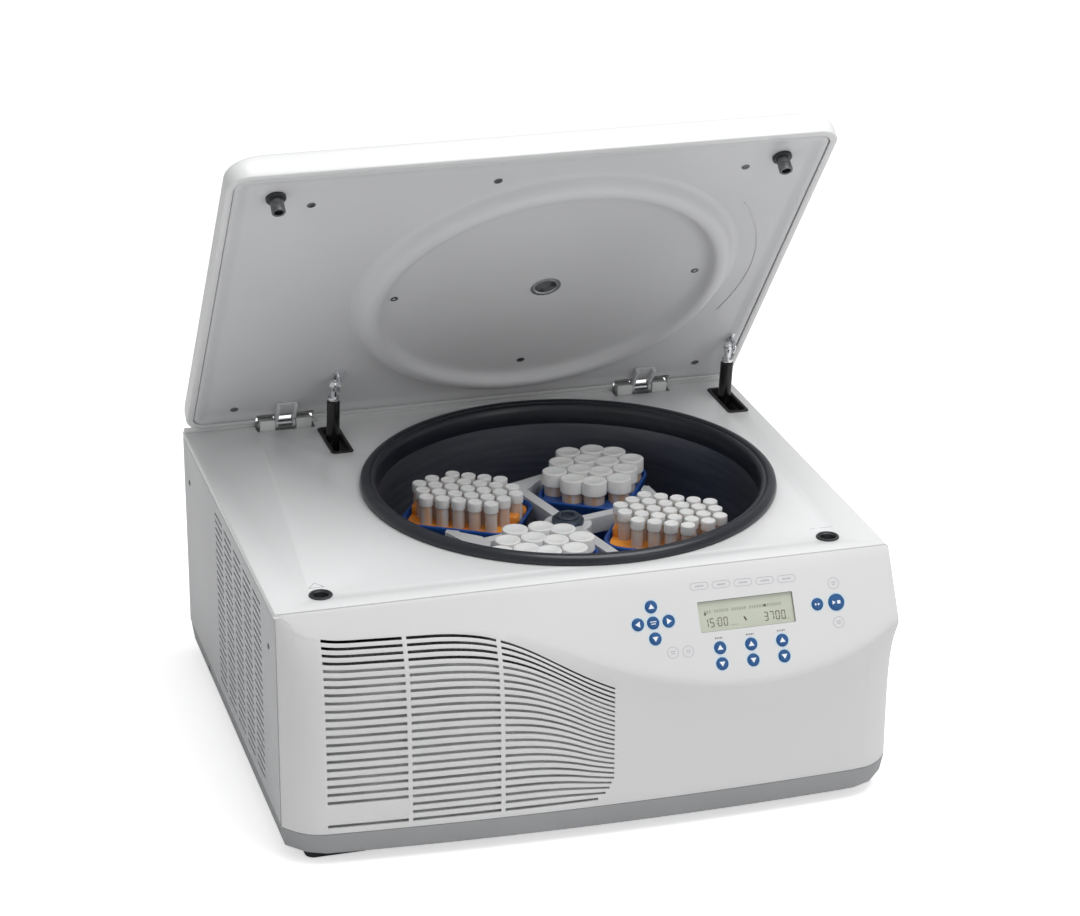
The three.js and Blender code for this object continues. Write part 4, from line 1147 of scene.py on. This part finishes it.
def makeLiner():
    rise = hinge["linerRise"]
    levels = [(4.4, rise + 3), (4.4, rise), (10, rise - 0.4), (10.2, 5), (10.9, 4.3), (14, 4), (19, 5.2),
              (24, 7.3), (29, rise)]
    plate = wrapGrid("plate", [lidLoop(inset, z) for inset, z in levels])
    carved(plate, [addRound("hole", 17.3, -20, 30, bossSpot, sides=64)] + [
        addBlock("notch", (hingeX[side] - deck["notchHalf"], -16, -10),
                 (hingeX[side] + deck["notchHalf"], 16, 12))
        for side in ("left", "right")])
    plate = dressed(plate, linerPlastic)
    dish = spinOutline("dish", [
        (17.3, 4), (120, 3.8), (194, 3.4), (202, 2.8), (207, 0.8), (210, -3), (212.4, -7.4), (215, -9.6),
        (218.5, -10.4),
        (224, -10.2), (229.5, -8.4), (233.2, -4.8), (236.2, 0), (238.6, 4.6), (241.5, 7), (247, rise),
        (247, rise + 2),
        (17.3, rise + 2)], 160, bossSpot)
    dressed(dish, linerPlastic)
    arc = []
    for radius, turns in ((272, range(-34, 23, 2)), (270.6, range(22, -35, -2))):
        arc += [(bossSpot[0] + radius * math.cos(math.radians(turn)),
                 bossSpot[1] + radius * math.sin(math.radians(turn)))
                for turn in turns]
    arc = dressed(raiseOutline("arc", [(x, y, rise - 1.1) for x, y in arc], 1.5), linerPlastic)
    pieces = [plate, dish, arc]
    for side in ("left", "right"):
        x = strut[side]
        stem = bevelled(addBlock("stem", (x + 4.6, -eyeR - 8, eyeZ - 8), (x + 8.6, -eyeR + 8, rise + 1)), 1.6,
                        3, 40)
        foot = bevelled(addBlock("foot", (x + 2, -eyeR - 15, rise - 3), (x + 15, -eyeR + 15, rise + 0.5)), 0.8,
                        2, 40)
        ball = addRound("ball", 2.6, -4, 6, (x, -eyeR, eyeZ), "x", 24)
        pieces += [dressed(stem, chromePlate), dressed(foot, chromePlate), dressed(ball, chromePlate)]
    return joined("lidLiner", pieces)


liner = makeLiner()
linerScrews = [(-264, 502), (-43, 521), (267, 507.5), (-308, 33), (-134.5, 281), (254, 284), (60, 99),
               (313, 38)]
screws = []
for x, r in linerScrews:
    inDish = math.hypot(x - bossSpot[0], -r - bossSpot[1]) < 205
    screws.append(screwHead((x, -r, 3.8 if inDish else hinge["linerRise"] + 0.2), 5.2, "z", -1, darkSteel))
liner = joined("lidLiner", [liner] + screws)
setPiece(liner, lidPlace, "lid", ["lid_liner"], 40)

bezel = dressed(spinOutline("bezel", [(13.6, 7), (13.6, 3.8), (14.2, 3.1), (18.2, 2.9), (19.2, 3.4),
                                      (19.4, 4.6), (17.2, 4.6),
                                      (17.2, 11), (13.6, 11)], 64, bossSpot), satinSteel)
glass = dressed(spinOutline("glass", [(0, 3.9), (13.7, 4.1), (13.7, 9), (0, 9)], 64, bossSpot), sightGlass)
setPiece(joined("lidSightGlass", [bezel, glass]), lidPlace, "lid", ["lid_sight_glass"])

for side, sign in (("left", -1), ("right", 1)):
    spot = (sign * deck["postX"], deck["latchY"] - hinge["y"], 0)
    flange = dressed(spinOutline("flange", [(0, 7.7), (12, 7.7), (12, 4.6), (11.2, 3.6), (7, 3.4), (0, 3.4)],
                                 48, spot), blackPlastic)
    shank = dressed(spinOutline("shank", [(0, 5), (7.8, 5), (7.9, 3), (8.4, -12), (8.2, -13.4), (7.6, -14),
                                          (6, -13.9),
                                          (5.4, -13.2), (5.4, -6), (0, -6)], 48, spot), darkSteel)
    setPiece(joined("latchPost" + side.title(), [flange, shank]), lidPlace, "lid",
             ["latch_post_" + side])
report("lid liner and posts")

# ---- rotor ----
cross = dressed(nodeCopy("rotorCross", "rotor_cross", 0.9, 3, 30), rotorPaint)
setPiece(cross, Matrix(), "rotor", ["rotor_cross"], 40)
nut = dressed(spinOutline("rotorNut", [(0, 241.4), (20, 241.4), (20, 246.6), (18.8, 248.2), (16, 248.9),
                                       (15.2, 249.4),
                                       (14.8, 251.6), (13.6, 252.6), (10, 253), (8.6, 252.2), (8, 249.6),
                                       (0, 249.2)], 72), nutMetal)
setPiece(nut, rotorPlace, "rotor", ["rotor_nut"])

pivot = {"radius": 130, "height": 229, "pin": 4}
bucket = {"length": 74, "width": 58, "corner": 28, "low": 162, "rim": 242, "taper": 22 / 74}


def potLoop(inset, z, steps=9):
    depth = (bucket["rim"] - z) / (bucket["rim"] - bucket["low"])
    length = bucket["length"] * (1 - max(0, depth) * bucket["taper"]) - inset
    return roundedLoop(length, bucket["width"] - inset, max(6, bucket["corner"] - inset), steps, z=z)


def makeBucket():
    low, rim = bucket["low"], bucket["rim"]
    levels = [(10, low), (5, low + 0.8), (2, low + 3.4), (0.4, low + 8), (0, low + 14), (0, rim - 7.4),
              (-0.6, rim - 6.4),
              (-1.5, rim - 5.4), (-1.8, rim - 2.6), (-1.4, rim - 0.8), (-0.2, rim), (1.6, rim - 0.2),
              (2.7, rim - 1.4),
              (3, rim - 4), (3, low + 8), (5, low + 4), (12, low + 3)]
    shell = wrapGrid("shell", [potLoop(inset, z) for inset, z in levels])
    ears = []
    for turn in (0, math.pi):
        ear = addBlock("ear", (-12, 57, 214), (12, 63, 236.4))
        pick(ear, "edges", lambda a, b: abs(a.x - b.x) < 1 and abs(a.z - b.z) < 1)
        bpy.ops.mesh.bevel(offset=4 * mm, segments=4)
        leave()
        slot = addBlock("slot", (-4.5, 56, 200), (4.5, 66, 229))
        seat = addRound("seat", 4.5, 58.2, 66, (0, 0, pivot["height"]), "y", 32)
        carved(ear, [slot])
        carved(ear, [seat])
        bevelled(ear, 0.5, 2, 50)
        ear.data.transform(Matrix.Rotation(turn, 4, "Z"))
        ears.append(ear)
    return joined("bucket", [dressed(piece, bucketBlue) for piece in [shell] + ears])


def ribbedLoop(radius, z, ribs, depth):
    count = ribs * 2
    return [((radius - depth * (n % 2)) * math.cos(n * 2 * math.pi / count),
             (radius - depth * (n % 2)) * math.sin(n * 2 * math.pi / count), z) for n in range(count)]


def makeCap(radius, low, high, ribs, depth):
    levels = [(radius * 0.8, low + 1.5, 0), (radius * 0.96, low, 0), (radius, low + 0.5, depth),
              (radius, high - 1.4, depth),
              (radius * 0.97, high - 0.5, depth * 0.6), (radius * 0.9, high, 0), (radius * 0.72, high, 0),
              (radius * 0.66, high - 0.5, 0)]
    return dressed(wrapGrid("cap", [ribbedLoop(r, z, ribs, d) for r, z, d in levels]), capWhite)


def rackSpots(form):
    rows = form["rows"]
    return [((n - (count - 1) / 2) * form["along"], (row - (len(rows) - 1) / 2) * form["across"])
            for row, count in enumerate(rows) for n in range(count)]


small = {"radius": 9.3, "tube": 7.9, "rows": (4, 6, 7, 6, 5), "along": 21, "across": 20, "top": 237.5,
         "capLow": 262.5,
         "capHigh": 274, "ribs": 14, "depth": 0.5, "finish": rackAmber}
large = {"radius": 16.2, "tube": 13.6, "rows": (3, 4, 4, 3), "along": 34, "across": 28, "top": 238,
         "capLow": 251,
         "capHigh": 268.5, "ribs": 26, "depth": 0.6, "finish": rackBlue}


def makeRack(form):
    low = bucket["low"]
    levels = [(14, low + 5), (6, low + 6), (4.4, low + 12), (4.4, form["top"] - 1), (5, form["top"]),
              (7, form["top"])]
    pieces = [dressed(wrapGrid("body", [potLoop(inset, z) for inset, z in levels]), form["finish"])]
    if form is small:
        for side in (-1, 1):
            grip = [roundedLoop(7 - inset, 19 - inset, 4, 4, (side * 62, 0), z) for inset, z in
                    [(1, form["top"] - 2), (0, form["top"]), (0, form["top"] + 10), (0.8, form["top"] + 11.4),
                     (2, form["top"] + 12)]]
            pieces.append(dressed(wrapGrid("grip", grip), form["finish"]))
    tube = dressed(spinOutline("tube", [(0, form["top"] - 6), (form["tube"], form["top"] - 6),
                                        (form["tube"], form["capLow"] + 1),
                                        (0, form["capLow"] + 1)], 20), tubeClear)
    cap = makeCap(form["radius"], form["capLow"], form["capHigh"], form["ribs"], form["depth"])
    for x, y in rackSpots(form):
        change = Matrix.Translation((x * mm, y * mm, 0))
        pieces += [copied(tube, "tube", change), copied(cap, "cap", change)]
    bpy.data.objects.remove(tube)
    bpy.data.objects.remove(cap)
    return joined("rack", pieces)


oneBucket = makeBucket()
racks = {0: makeRack(small), 1: makeRack(large)}
for number in range(4):
    place = rotorPlace @ Matrix.Rotation(number * math.pi / 2, 4,
                                         "Z") @ Matrix.Translation((pivot["radius"] * mm, 0, 0))
    body = "bucket_" + str(number + 1) + "_body"
    setPiece(copied(oneBucket, "bucketPot" + str(number + 1)), place, body,
             ["bucket_" + str(number + 1)])
    setPiece(copied(racks[number % 2], "tubeRack" + str(number + 1)), place, body,
             ["tube_rack_" + str(number + 1)])
for piece in [oneBucket] + list(racks.values()):
    bpy.data.objects.remove(piece)
report("rotor, buckets and racks")

# ---- what stays as the part has it ----
for node, finish in {"condenser_coil": coilFins, "condenser_fan": blackPlastic, "compressor": blackPaint,
                     "drive_motor": motorMetal, "drive_shaft": satinSteel}.items():
    dressNode(node, finish)
report("inner parts")
